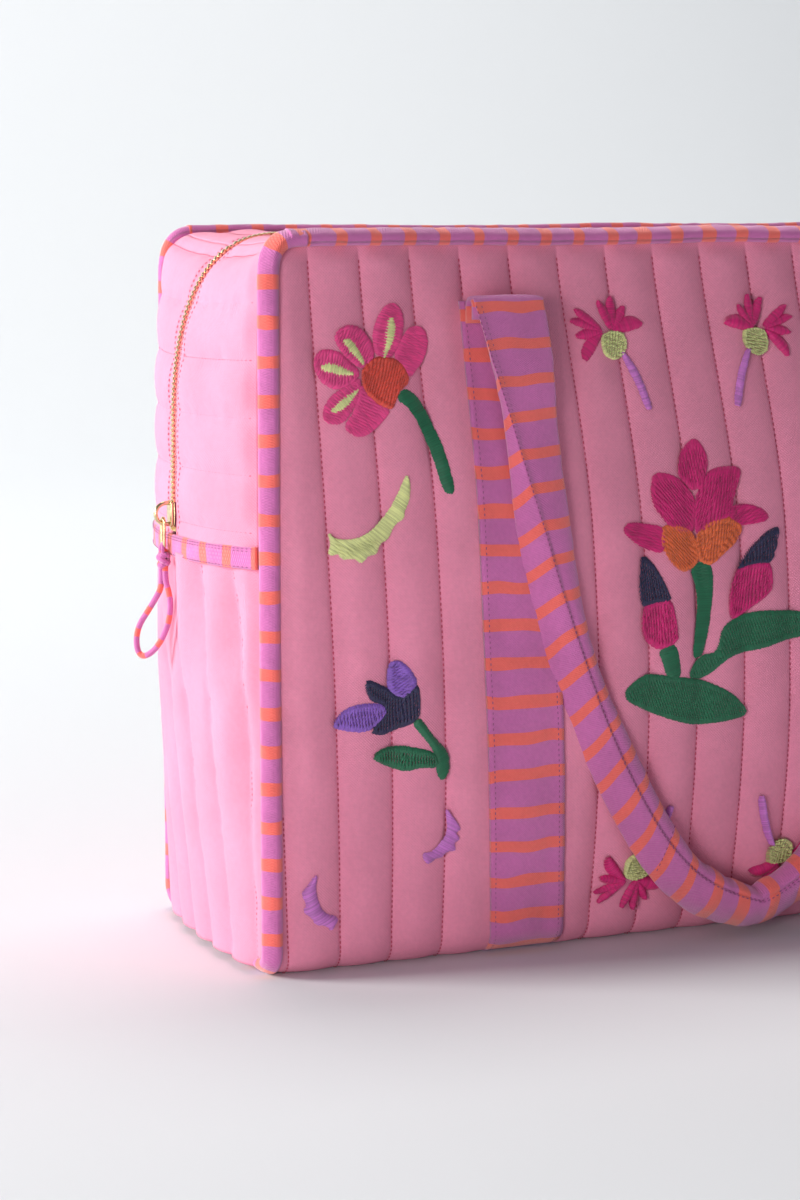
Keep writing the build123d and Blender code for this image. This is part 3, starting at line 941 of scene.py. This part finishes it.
def make_slider():
    low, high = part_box("slider_body")
    middle = (low + high) / 2
    z0, z1 = low[2], high[2]
    shape = [(-3.0, z0 + 1.5 * MM), (-2.0, z0), (2.0, z0), (3.0, z0 + 1.5 * MM), (3.5, middle[2]),
             (3.1, z1 - 1 * MM), (1.4, z1), (0, z1 - 1 * MM), (-1.4, z1), (-3.1, z1 - 1 * MM),
             (-3.5, middle[2])]
    outline = [(y * MM, z) for y, z in shape]
    box_part("slider_shell", outline, low[0] + 0.2 * MM, low[0] + 1.5 * MM, "slider", "slider_body")
    box_part("slider_back", outline, high[0] - 0.7 * MM, high[0], "slider", None)
    box_part("slider_post", [(-1 * MM, z1 - 4.5 * MM), (1 * MM, z1 - 4.5 * MM), (1 * MM, z1 - 1.5 * MM),
                             (-1 * MM, z1 - 1.5 * MM)], low[0] + 1 * MM, high[0], "slider", None, 0.2 * MM)
    low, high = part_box("slider_bail")
    x, z = high[0], (low[2] + high[2]) / 2
    reach, tall = high[0] - low[0], (high[2] - low[2]) / 2
    turn = np.linspace(-0.5, 0.5, 40) * pi
    arch = [(x - (reach - 0.9 * MM) * cos(a) ** 0.8, 0, z + (tall - 0.9 * MM) * sin(a)) for a in turn]
    arch = [(x + 2 * MM, 0, arch[0][2])] + arch + [(x + 2 * MM, 0, arch[-1][2])]
    tube_object("slider_arch", smooth_line(arch, 60), 1.0 * MM, GOLD, "metal", "slider", "slider_bail")


def make_pull():
    low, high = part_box("pull_link")
    x = (low[0] + high[0]) / 2
    half, r = (high[1] - low[1]) / 2 - 0.9 * MM, (high[0] - low[0]) / 2
    top, bottom = high[2] - 0.9 * MM, low[2] + 0.9 * MM
    line = []
    for k in range(96):
        a = k / 96 * 2 * pi
        z = (top + bottom) / 2 + ((top - bottom) / 2 - half) * np.clip(sin(a) * 3, -1, 1) + half * sin(a)
        line.append((x, half * cos(a) * (1.0 if sin(a) > 0 else 0.9), z))
    at, _ = tube(line, min(r, 0.85 * MM))
    link = mesh_object("pull_ring", at, grid_faces(96, 14, True, True), materials=[GOLD])
    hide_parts("pull_link")
    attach(link, "pull")
    low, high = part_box("pull_knot")
    middle = (low + high) / 2
    size = (high - low) / 2
    turns = np.linspace(0, 1, 220)
    a = turns * 2 * pi * 3
    swell = np.sin(pi * (0.12 + 0.76 * turns)) ** 0.7
    knot = np.stack([middle[0] + (size[0] - 1.5 * MM) * swell * np.cos(a),
                     middle[1] + (size[1] - 1.5 * MM) * swell * np.sin(a),
                     middle[2] + (size[2] - 1.2 * MM) * (1 - 2 * turns) + 0.8 * MM * np.sin(a * 1.5)], -1)
    at, _ = tube(knot, 1.6 * MM, sections=12, squeeze=0.8)
    run = np.arange(len(knot) - 1)
    picks = np.repeat(((run // 26) % 3 == 0).astype(int), 12)
    made = mesh_object("pull_knot_wrap", at, grid_faces(220, 12, wrap_cols=True), at[:, 1:], picks, STRIPES)
    close_ends(made, 12)
    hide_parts("pull_knot")
    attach(made, "pull")
    for name, shift in (("pull_tie_front", -1), ("pull_tie_rear", 1)):
        top = middle[2] + size[2] + 2.5 * MM
        tie = [(x, shift * 1.5 * MM, middle[2]), (x - 1 * MM, shift * 1.9 * MM, middle[2] + size[2]),
               (x - 0.6 * MM, shift * 1.4 * MM, top), (x, 0, top + 0.8 * MM)]
        tube_object(name, smooth_line(tie, 16), 0.9 * MM, ORCHID, "striped", "pull")
    low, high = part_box("pull_loop")
    make_loop((low[0] + high[0]) / 2, high[2])


# The cord loop, traced: distance outward from the knot and distance below it, in mm.
LOOP_THICK = 2.9 * MM
LOOP_SHAPE = [(0.8, -1.5), (0.8, 3), (1.0, 7), (2.3, 11.5), (3.1, 18), (2.1, 26.4), (-0.9, 34.4),
              (-4.6, 40.5), (-8.3, 43.6), (-10.8, 43.8), (-12.5, 41), (-12.9, 35), (-11.3, 28.3), (-7.6, 22),
              (-3.6, 14.8), (-1.3, 10), (-0.9, 5), (-0.9, -1.5)]


def make_loop(x, top):
    """The striped cord loop: a narrow folded strip hanging open under the knot, turned outward a little."""
    r = LOOP_THICK / 2
    route = [(x + 0.8 * u * MM, -0.6 * u * MM * 1.6, top - v * MM) for u, v in LOOP_SHAPE]
    count = 260
    line = smooth_line(route, count, passes=3)
    at, _ = tube(line, r, sections=14)
    length = float(np.sum(np.linalg.norm(np.diff(line, axis=0), axis=1)))
    run = np.linspace(0, length, count)[:-1]
    picks = np.repeat((((run + 2 * MM) / (13 * MM)) % 1 < CORAL_SHARE).astype(int), 14)
    made = mesh_object("pull_cord", at, grid_faces(count, 14, wrap_cols=True), at[:, 1:], picks, STRIPES)
    close_ends(made, 14)
    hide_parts("pull_loop")
    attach(made, "pull")


# ---------------------------------------------------------------- handles
# One leg of the handle seen from the front, traced: X and Z in mm from the fold down to the grip.
HANDLE_OUTER = [(-141, 318), (-133, 292), (-128, 271), (-121, 198), (-114, 164), (-101, 131), (-80, 87),
                (-60, 50), (-36, 20), (-13.5, 7), (10, 4)]
HANDLE_RIDGE = [(-141, 318), (-132, 285), (-125.5, 263), (-118, 234), (-107, 196), (-100, 173), (-83.5, 127),
                (-67, 91), (-47, 58), (-30, 37), (-10, 25), (10, 20)]
HANDLE_INNER = [(-104, 318), (-100.5, 306), (-99.5, 293), (-100.5, 275), (-100, 253), (-98, 232), (-93, 196),
                (-88.5, 164), (-82, 143), (-68, 116), (-52, 86), (-38, 61), (-27, 45), (-15, 36),
                (0, 28), (10, 26)]
HANDLE_HANG = ([0, 80, 150, 210, 270, 324], [103, 105.5, 106.5, 104, 95.5, 87])
HANDLE_MIDDLE = 10
RIGHT_LEG = 0.846


def leg_line(points, count):
    """A smooth evenly spaced line in X and Z near the traced points, in metres."""
    points = np.array(points, float)
    line = polyline(points, count)
    for _ in range(2):
        padded = np.pad(line, ((12, 12), (0, 0)), mode="reflect", reflect_type="odd")
        line = np.stack([np.convolve(padded[:, k], np.ones(25) / 25, "valid") for k in range(2)], -1)
    line[0] = points[0]
    return line * MM


def handle_lines():
    count = 200
    lines = []
    for points in (HANDLE_OUTER, HANDLE_RIDGE, HANDLE_INNER):
        left = leg_line(points, count)
        right = left[::-1][1:].copy()
        right[:, 0] = HANDLE_MIDDLE * MM + (HANDLE_MIDDLE * MM - right[:, 0]) * RIGHT_LEG
        lines.append(np.concatenate([left, right]))
    return lines


def hang(z):
    return np.interp(z, np.array(HANDLE_HANG[0]) * MM, np.array(HANDLE_HANG[1]) * MM)


def handle_sections():
    """Rings of points for one handle: a flat strap at its folds, tucked along a ridge into a soft grip."""
    outer, ridge, inner = handle_lines()
    n = len(outer)
    t = np.abs(np.linspace(-1, 1, n))
    tuck = step(0.0, 0.45, 1 - t)
    grip = step(0.80, 0.90, 1 - t)
    front = hang((outer[:, 1] + inner[:, 1]) / 2)
    run = np.concatenate([[0], np.cumsum(np.linalg.norm(np.diff(ridge, axis=0), axis=1))])
    drop_o = (0.4 + 10.5 * tuck + 1.5 * grip) * MM
    drop_i = (0.4 + 4.0 * tuck + 3.5 * grip) * MM
    back = (3.4 + 9.6 * tuck + 3.0 * grip) * MM

    def ring_point(place, depth):
        return np.stack([place[:, 0], -front + depth, place[:, 1]], -1)

    def between(a, b, k):
        return a * (1 - k) + b * k

    crease = 1.0 * MM * smooth_noise(run, run * 0, 81, 9 * MM) * (0.3 + grip)
    bulge = (0.4 + 1.0 * tuck + 2.0 * grip) * MM
    loop = [
        ring_point(outer, drop_o),
        ring_point(between(outer, ridge, 0.3), drop_o * 0.58 - bulge * 0.5),
        ring_point(between(outer, ridge, 0.7), drop_o * 0.18 - bulge * 0.55),
        ring_point(ridge, -0.9 * MM * np.ones(n) - crease * 0.2),
        ring_point(between(ridge, inner, 0.12), 0.5 * MM * np.ones(n)),
        ring_point(between(ridge, inner, 0.4), drop_i * 0.15 - bulge * 0.5 + crease * 0.4),
        ring_point(between(ridge, inner, 0.75), drop_i * 0.45 - bulge * 0.4 - crease * 0.5),
        ring_point(inner, drop_i),
        ring_point(between(inner, ridge, 0.05), back * 0.85),
        ring_point(between(inner, outer, 0.3), back),
        ring_point(between(inner, outer, 0.7), back),
        ring_point(between(outer, inner, 0.03), back * 0.9),
    ]
    rings = np.stack(loop, 1)
    for _ in range(2):
        following = np.roll(rings, -1, axis=1)
        rings = np.stack([rings * 0.75 + following * 0.25, rings * 0.25 + following * 0.75], 2)
        rings = rings.reshape(n, -1, 3)
    return rings, run, grip, (outer, ridge, inner)


def make_handles():
    rings, run, grip, lines = handle_sections()
    n, m = rings.shape[:2]
    lateral = np.linalg.norm(rings - rings[:, :1], axis=-1)
    pucker = 0.9 * MM * smooth_noise(run[:, None], lateral * 0.25, 82, 6 * MM) * grip[:, None]
    pucker += 0.3 * MM * smooth_noise(run[:, None], lateral, 83, 6 * MM)
    middle = rings.mean(axis=1, keepdims=True)
    rings = rings + unit(rings - middle) * pucker[..., None]
    along = unit(np.gradient(middle, axis=0))
    ends = np.clip(np.minimum(run, run[-1] - run) / (6 * MM), 0, 1)[:, None]
    shift = 1.0 * MM * smooth_noise(lateral, run[:, None] * 0.6, 84, 11 * MM) * ends
    rings = rings + along * shift[..., None]
    picks = stripe_picks(run, -1.5 * MM, 17.5 * MM, m)
    uv = np.stack([np.broadcast_to(run[:, None], lateral.shape), lateral], -1)
    outer, ridge, inner = lines
    for label, side in (("front", 1), ("rear", -1)):
        points = rings * [1, side, 1]
        faces = grid_faces(n, m, wrap_cols=True)[:, ::-side]
        handle = mesh_object(label + "_carry_strap", points, faces, uv, picks, STRIPES)
        close_ends(handle, m)
        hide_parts(label + "_handle")
        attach(handle, label + "_handle")
        seams = []
        steps = np.arange(3 * MM, run[-1] - 3 * MM, STITCH_STEP)
        for shift in (0.0, 1.0):
            line = ridge + shift * 0.09 * (inner - ridge)
            at = np.stack([np.interp(steps, run, line[:, k]) for k in range(2)], -1)
            path = np.stack([at[:, 0], -side * (hang(at[:, 1]) + (1.1 - shift * 1.2) * MM), at[:, 1]], -1)
            seams.append((path, np.tile([0, -side, 0], (len(path), 1))))
        k = np.linspace(0, 1, 40)
        for at in (int(n * 0.40), n - 1 - int(n * 0.40)):
            a, b = outer[at], inner[at]
            place = a + (b - a) * k[:, None] * 0.9 + (b - a) * 0.05
            front = hang(place[:, 1]) + (0.6 * MM + 1.2 * MM * np.sin(pi * k))
            path = np.stack([place[:, 0], -side * front, place[:, 1]], -1)
            seams.append((polyline3(path, 2.4 * MM), np.tile([0, -side, 0], (60, 1))))
        stitches(label + "_carry_strap_stitching", seams, label + "_handle", length=1.6 * MM, wide=0.5 * MM,
                 material=BAND_STITCH)
        make_folds(label, side, rings)


def make_folds(label, side, rings):
    """Where the sewn strap turns over into the handle, at both ends."""
    for end, ring in (("left", rings[0]), ("right", rings[-1])):
        x0, x1 = ring[:, 0].min(), ring[:, 0].max()
        y_handle = -(ring[:, 1].min() + ring[:, 1].max()) / 2
        y_bag = HALF_DEPTH + 4.5 * MM
        z0 = FOLD_Z - 2 * MM
        radius = (y_handle - y_bag) / 2
        path = []
        for a in np.linspace(0, pi, 22):
            path.append((0, -side * (y_bag + radius - radius * cos(a)), z0 + 3.6 * MM * sin(a)))
        path = np.array([(0, -side * y_bag, z0 - 8 * MM), *path, (0, -side * y_handle, z0 - 6 * MM)])
        path[:, 0] = (x0 + x1) / 2
        along = unit(np.gradient(path, axis=0))
        across = np.tile([1.0, 0, 0], (len(path), 1))
        up = unit(np.cross(across, along))
        piece = striped(f"{label}_{end}_fold", path, across, up, (x1 - x0) / 2, 1.5 * MM, None, crown=0.1,
                        offset=2 * MM)
        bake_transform(piece)


# ---------------------------------------------------------------- embroidery
HOT, MAGENTA, ORANGE, EMBER, LIME, GREEN, NAVY, VIOLET, MAUVE = (
    thread_material(name + "_thread", srgb(*colour)) for name, colour in (
        ("hot_pink", (238, 66, 142)), ("magenta", (212, 8, 116)), ("orange", (236, 108, 58)),
        ("ember", (226, 74, 60)), ("lime", (222, 226, 156)), ("green", (6, 104, 70)),
        ("navy", (30, 26, 74)), ("violet", (140, 92, 196)), ("mauve", (204, 118, 204))))

# Each patch: colour, thread direction in degrees (None runs across its length), longest stitch in mm,
# and its traced outline in mm as X and height Z on the front cloth.
DAISY = [
    (GREEN, None, 9, [(-176, 272), (-172, 277), (-165, 272), (-161, 264), (-155, 250), (-150, 228),
                      (-155, 228), (-159, 245), (-165, 260), (-170, 268)]),
    (HOT, None, 5, [(-176, 291), (-171, 299), (-167, 304), (-162, 305), (-159, 303), (-158, 298), (-160, 291),
                    (-164, 286), (-169, 281), (-171, 287)]),
    (HOT, None, 5, [(-193, 280), (-189, 273), (-184, 269), (-179, 267), (-183, 262), (-190, 256), (-196, 255),
                    (-201, 258), (-201, 261), (-196, 267)]),
    (HOT, None, 5, [(-193, 282), (-193, 277), (-196, 270), (-201, 263), (-205, 261), (-211, 262), (-211, 268),
                    (-207, 274), (-202, 277), (-196, 280)]),
    (HOT, None, 5, [(-193, 285), (-194, 282), (-201, 278), (-206, 277), (-212, 281), (-215, 288), (-214, 293),
                    (-210, 295), (-203, 294), (-198, 289)]),
    (HOT, None, 5, [(-192, 286), (-200, 292), (-205, 300), (-203, 304), (-198, 306), (-192, 305), (-187, 299),
                    (-185, 294), (-186, 290), (-189, 288)]),
    (HOT, None, 5, [(-180, 291), (-184, 292), (-185, 296), (-185, 302), (-183, 308), (-179, 314), (-174, 316),
                    (-170, 312), (-170, 306), (-171, 300), (-174, 295), (-177, 291)]),
    (LIME, None, 9, [(-194, 277), (-196, 273), (-201, 268), (-206, 266), (-208, 267), (-207, 269),
                     (-202, 273), (-196, 276)]),
    (LIME, None, 9, [(-212, 287), (-210, 289), (-205, 289), (-199, 286), (-196, 284), (-197, 283),
                     (-204, 283), (-210, 285)]),
    (LIME, None, 9, [(-201, 299), (-199, 300), (-196, 300), (-192, 294), (-190, 289), (-191, 287),
                     (-196, 292), (-200, 296)]),
    (LIME, None, 9, [(-178, 309), (-175, 309), (-174, 306), (-174, 302), (-176, 297), (-180, 291),
                     (-181, 291), (-180, 297)]),
    (EMBER, 52, 4, [(-191, 287), (-185, 291), (-179, 291), (-173, 289), (-169, 282), (-170, 279), (-175, 275),
                    (-177, 270), (-179, 267), (-185, 270), (-191, 276), (-192, 282)]),
]
SICKLE = [
    (LIME, -38, 9, [(-173, 238), (-172, 231), (-173, 225), (-175, 222), (-176, 217), (-180, 215), (-183, 208),
                    (-187, 206), (-189, 201), (-193, 201), (-196, 197), (-200, 200), (-205, 199), (-206, 202),
                    (-211, 201), (-209, 206), (-211, 212), (-207, 208), (-198, 208), (-190, 212), (-182, 220),
                    (-177, 229)]),
]
TULIP = [
    (NAVY, 75, 6, [(-195, 142), (-192, 142), (-184, 138), (-178, 133), (-170, 140), (-169, 134), (-169, 125),
                   (-172, 121), (-179, 119), (-186, 116), (-193, 118), (-184, 126), (-186, 131), (-192, 133),
                   (-194, 137)]),
    (VIOLET, 20, 6, [(-183, 151), (-178, 151), (-173, 146), (-170, 140), (-174, 135), (-178, 133),
                     (-184, 138)]),
    (VIOLET, 80, 6, [(-210, 121), (-205, 128), (-198, 131), (-186, 131), (-184, 126), (-193, 118),
                     (-203, 119)]),
    (GREEN, None, 8, [(-172, 121), (-169, 124), (-163, 115), (-154, 106), (-153, 97), (-156, 92), (-159, 96),
                      (-160, 106), (-166, 114)]),
    (GREEN, 78, 6, [(-192, 106), (-184, 110), (-174, 110), (-160, 106), (-159, 99), (-167, 100), (-175, 98),
                    (-185, 102)]),
]
SPRIG = [
    (MAUVE, -30, 9, [(-154, 79), (-151, 75), (-146, 68), (-149, 66), (-146, 63), (-149, 61), (-148, 57),
                     (-152, 57), (-155, 54), (-158, 54), (-162, 51), (-165, 57), (-159, 57), (-153, 64),
                     (-152, 69)]),
    (MAUVE, 28, 9, [(-216, 52), (-217, 42), (-213, 31), (-204, 28), (-208, 22), (-210, 25), (-216, 26),
                    (-217, 29), (-222, 33), (-220, 36), (-223, 42), (-221, 44)]),
]
BOUQUET = [
    (GREEN, None, 9, [(-31, 187), (-26, 191), (-20, 189), (-20, 175), (-23, 153), (-25, 145), (-30, 144),
                      (-27, 168), (-28, 180)]),
    (GREEN, None, 9, [(-48, 149), (-40, 153), (-36, 135), (-43, 135), (-46, 144)]),
    (GREEN, 95, 5, [(-30, 140), (-25, 145), (-17, 146), (-15, 158), (-6, 163), (8, 165), (22, 164), (38, 162),
                    (52, 157), (38, 152), (20, 150), (9, 147), (-10, 145), (-23, 134), (-32, 135)]),
    (GREEN, 96, 5, [(-69, 128), (-56, 138), (-43, 136), (-24, 133), (-7, 125), (4, 114), (-12, 112),
                    (-28, 111), (-49, 118)]),
    (MAGENTA, 155, 7, [(-67, 207), (-63, 211), (-55, 210), (-44, 208), (-45, 195), (-57, 199)]),
    (MAGENTA, 20, 7, [(-9, 214), (-6, 217), (2, 217), (10, 214), (13, 209), (-1, 207), (-9, 208)]),
    (MAGENTA, 118, 7, [(-48, 234), (-36, 232), (-27, 222), (-27, 214), (-29, 204), (-40, 206), (-49, 217),
                       (-50, 225)]),
    (MAGENTA, 62, 7, [(1, 235), (-4, 225), (-9, 211), (-20, 208), (-28, 203), (-27, 222), (-19, 235)]),
    (MAGENTA, 84, 7, [(-24, 250), (-19, 243), (-19, 236), (-22, 229), (-27, 224), (-33, 230), (-35, 233),
                      (-33, 242)]),
    (ORANGE, 115, 4, [(-46, 208), (-40, 209), (-33, 208), (-28, 203), (-26, 190), (-35, 186), (-42, 191),
                      (-47, 200)]),
    (ORANGE, 58, 4, [(-28, 203), (-21, 210), (-10, 212), (-1, 207), (-6, 199), (-14, 194), (-20, 189),
                     (-26, 190)]),
    (MAGENTA, 80, 6, [(-57, 171), (-49, 173), (-42, 174), (-39, 159), (-39, 153), (-48, 149), (-57, 156)]),
    (MAGENTA, 66, 6, [(-7, 186), (3, 189), (13, 189), (14, 175), (2, 167), (-10, 161), (-11, 173)]),
    (NAVY, 84, 6, [(-57, 196), (-50, 190), (-45, 180), (-42, 173), (-49, 172), (-57, 170), (-59, 182)]),
    (NAVY, 70, 6, [(19, 206), (16, 196), (13, 188), (3, 188), (-7, 185), (1, 195), (10, 203)]),
]
FLOWER = [
    (MAGENTA, None, 9, [(-67, 302), (-74, 309), (-80, 312), (-80, 310), (-76, 305), (-68, 300)]),
    (MAGENTA, None, 9, [(-68, 302), (-73, 305), (-79, 307), (-84, 306), (-78, 303), (-69, 300)]),
    (MAGENTA, None, 9, [(-67, 301), (-72, 302), (-78, 301), (-82, 298), (-75, 297), (-69, 299)]),
    (MAGENTA, None, 9, [(-67, 300), (-72, 299), (-77, 295), (-79, 291), (-78, 286), (-74, 290), (-69, 297)]),
    (MAGENTA, None, 9, [(-60, 301), (-60, 307), (-64, 313), (-68, 316), (-67, 309), (-63, 302)]),
    (MAGENTA, None, 9, [(-60, 301), (-58, 307), (-58, 313), (-60, 318), (-63, 312), (-62, 304)]),
    (MAGENTA, None, 9, [(-61, 300), (-57, 303), (-54, 307), (-53, 313), (-57, 310), (-61, 304)]),
    (MAGENTA, None, 9, [(-61, 300), (-55, 300), (-44, 303), (-48, 307), (-54, 307), (-60, 303)]),
    (MAUVE, None, 9, [(-58, 291), (-55, 290), (-50, 281), (-45, 264), (-48, 263), (-52, 277)]),
    (LIME, 40, 3, [(-68, 299), (-62, 301), (-55, 300), (-54, 294), (-57, 289), (-62, 287), (-68, 290)]),
]


def moved(patches, x=0, turn=None, flip=None):
    """Patches shifted along X, then mirrored about X = turn and height = flip if given."""
    out = []
    for colour, angle, longest, outline in patches:
        place = [(px + x, pz) for px, pz in outline]
        if turn is not None:
            place = [(2 * turn - px, pz) for px, pz in place]
            angle = None if angle is None else 180 - angle
        if flip is not None:
            place = [(px, 2 * flip - pz) for px, pz in place]
            angle = None if angle is None else -angle
        out.append((colour, angle, longest, place))
    return out


def rounded(outline):
    """The outline with its corners cut twice."""
    points = np.array(outline, float)
    for _ in range(2):
        after = np.roll(points, -1, axis=0)
        points = np.stack([points * 0.78 + after * 0.22, points * 0.22 + after * 0.78], 1).reshape(-1, 2)
    return points


def satin(patch, rng):
    """The threads of one patch: the start and end of each in mm, laid side by side."""
    _, angle, longest, outline = patch
    points = rounded(outline)
    if angle is None:
        spread = points - points.mean(axis=0)
        values, axes = np.linalg.eigh(spread.T @ spread)
        across = axes[:, 0]
    else:
        across = np.array([cos(angle * pi / 180), sin(angle * pi / 180)])
    down = np.array([-across[1], across[0]])
    flat = np.stack([points @ across, points @ down], -1)
    after = np.roll(flat, -1, axis=0)
    threads = []
    for number, level in enumerate(np.arange(flat[:, 1].min() + 0.15, flat[:, 1].max(), 0.46)):
        cross = (flat[:, 1] > level) != (after[:, 1] > level)
        f, g = flat[cross], after[cross]
        hits = np.sort(f[:, 0] + (level - f[:, 1]) * (g[:, 0] - f[:, 0]) / (g[:, 1] - f[:, 1]))
        for a, b in zip(hits[::2], hits[1::2]):
            a, b = a - 0.25 - rng.uniform(0, 0.4), b + 0.25 + rng.uniform(0, 0.4)
            if b - a < 0.9:
                continue
            pieces = max(1, int(np.ceil((b - a) / longest)))
            cuts = np.linspace(a, b, pieces + 1)
            if pieces > 1:
                cuts[1:-1] += ((number % 3) - 1) * (b - a) / pieces * 0.3 + rng.uniform(-0.3, 0.3, pieces - 1)
            for low, high in zip(cuts[:-1], cuts[1:]):
                threads.append((low * across + level * down, high * across + level * down))
    return threads


def embroider(name, patches, rear):
    """Thread laid over the quilted cloth: every stitch is its own small arched strand."""
    rng = np.random.default_rng(7)
    flat, lift, faces, picks, tag = [], [], [], [], []
    colours = []
    for order, patch in enumerate(patches):
        if patch[0] not in colours:
            colours.append(patch[0])
        pick = colours.index(patch[0])
        for start, end in satin(patch, rng):
            size = float(np.linalg.norm(end - start))
            along = (end - start) / size
            side = np.array([-along[1], along[0]]) * 0.31
            count = max(4, int(size / 1.6) + 2)
            first = len(flat)
            crest = 0.22 * min(1.0, size / 4) + rng.uniform(-0.05, 0.05) + 0.05 * order
            mark = rng.uniform(0, 50)
            for t in np.linspace(0, 1, count):
                at = start + along * size * t
                arch = crest * (1 - abs(2 * t - 1) ** 3) - 0.25 * (t in (0.0, 1.0))
                for k in (-1, 0, 1):
                    flat.append(at + side * k)
                    lift.append(0.75 + arch - 0.3 * abs(k))
                    tag.append((mark, size * t))
            for k in range(count - 1):
                a = first + 3 * k
                faces += [(a, a + 1, a + 4, a + 3), (a + 1, a + 2, a + 5, a + 4)]
                picks += [pick, pick]
    flat = np.array(flat) * MM
    x, z = flat[:, 0], flat[:, 1]
    s = WRAP_TOP - z
    if rear:
        s = ROUND - s
    over = np.maximum(puff(x, s), -1.3 * MM) * 0.75 + 0.1 * MM
    points = wrap_base(x, s, over + np.array(lift) * MM)
    made = mesh_object(name, points, faces, np.array(tag) * MM, picks, colours)
    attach(made, "bag")


def make_embroidery():
    left = DAISY + SICKLE + TULIP + SPRIG
    top = FLOWER + moved(FLOWER, turn=-22.5)
    low = moved(FLOWER, x=10, flip=167) + moved(FLOWER, x=-11, turn=-22, flip=167.5)
    right = moved(left, turn=0)
    for label, rear in (("front", False), ("rear", True)):
        embroider(label + "_left_embroidery", left, rear)
        embroider(label + "_middle_embroidery", BOUQUET + top + low, rear)
        embroider(label + "_right_embroidery", right, rear)


make_pull()
make_wrap()
make_wrap_stitching()
make_top_bindings()
make_end_bindings()
make_straps()
make_gusset()
make_zip()
make_end_panels()
make_embroidery()
make_slider()
make_handles()
make_lining()


# ---------------------------------------------------------------- light and floor
def make_stage():
    y = [-5, 2.2, *(2.2 + 1.5 * sin(t) for t in np.linspace(0, pi / 2, 24)[1:]), 3.7]
    z = [0, 0, *(1.5 - 1.5 * cos(t) for t in np.linspace(0, pi / 2, 24)[1:]), 5]
    points = [(x, b, c) for b, c in zip(y, z) for x in (-7, 7)]
    floor = mesh_object("backdrop", points, grid_faces(len(y), 2)[:, ::-1])
    pale = Nodes("pale_paper", rough=0.9)
    pale.shader.inputs["Base Color"].default_value = (0.71, 0.735, 0.78, 1)
    floor.data.materials.append(pale.material)
    world = bpy.data.worlds.new("studio")
    bpy.context.scene.world = world
    world.use_nodes = True
    back = world.node_tree.nodes["Background"]
    back.inputs["Color"].default_value = (0.9, 0.93, 1.0, 1)
    back.inputs["Strength"].default_value = 0.2
    for name, place, aim, size, power in (
        ("key", (-4.0, 1.2, 1.5), (-0.2, 0.0, 0.2), 1.5, 246),
        ("low", (-1.45, -1.35, 0.35), (-0.34, -0.1, 0.0), 0.6, 12),
        ("wall", (0.6, 1.2, 3.6), (0.9, 3.4, 0.6), 2.5, 102),
    ):
        data = bpy.data.lights.new(name, "AREA")
        data.size = size
        data.energy = power
        data.color = (1.0, 0.98, 0.92)
        lamp = bpy.data.objects.new(name, data)
        bpy.context.scene.collection.objects.link(lamp)
        lamp.location = place
        lamp.rotation_euler = (Vector(aim) - Vector(place)).to_track_quat("-Z", "Y").to_euler()
    bpy.context.scene.view_settings.view_transform = "Standard"


make_stage()
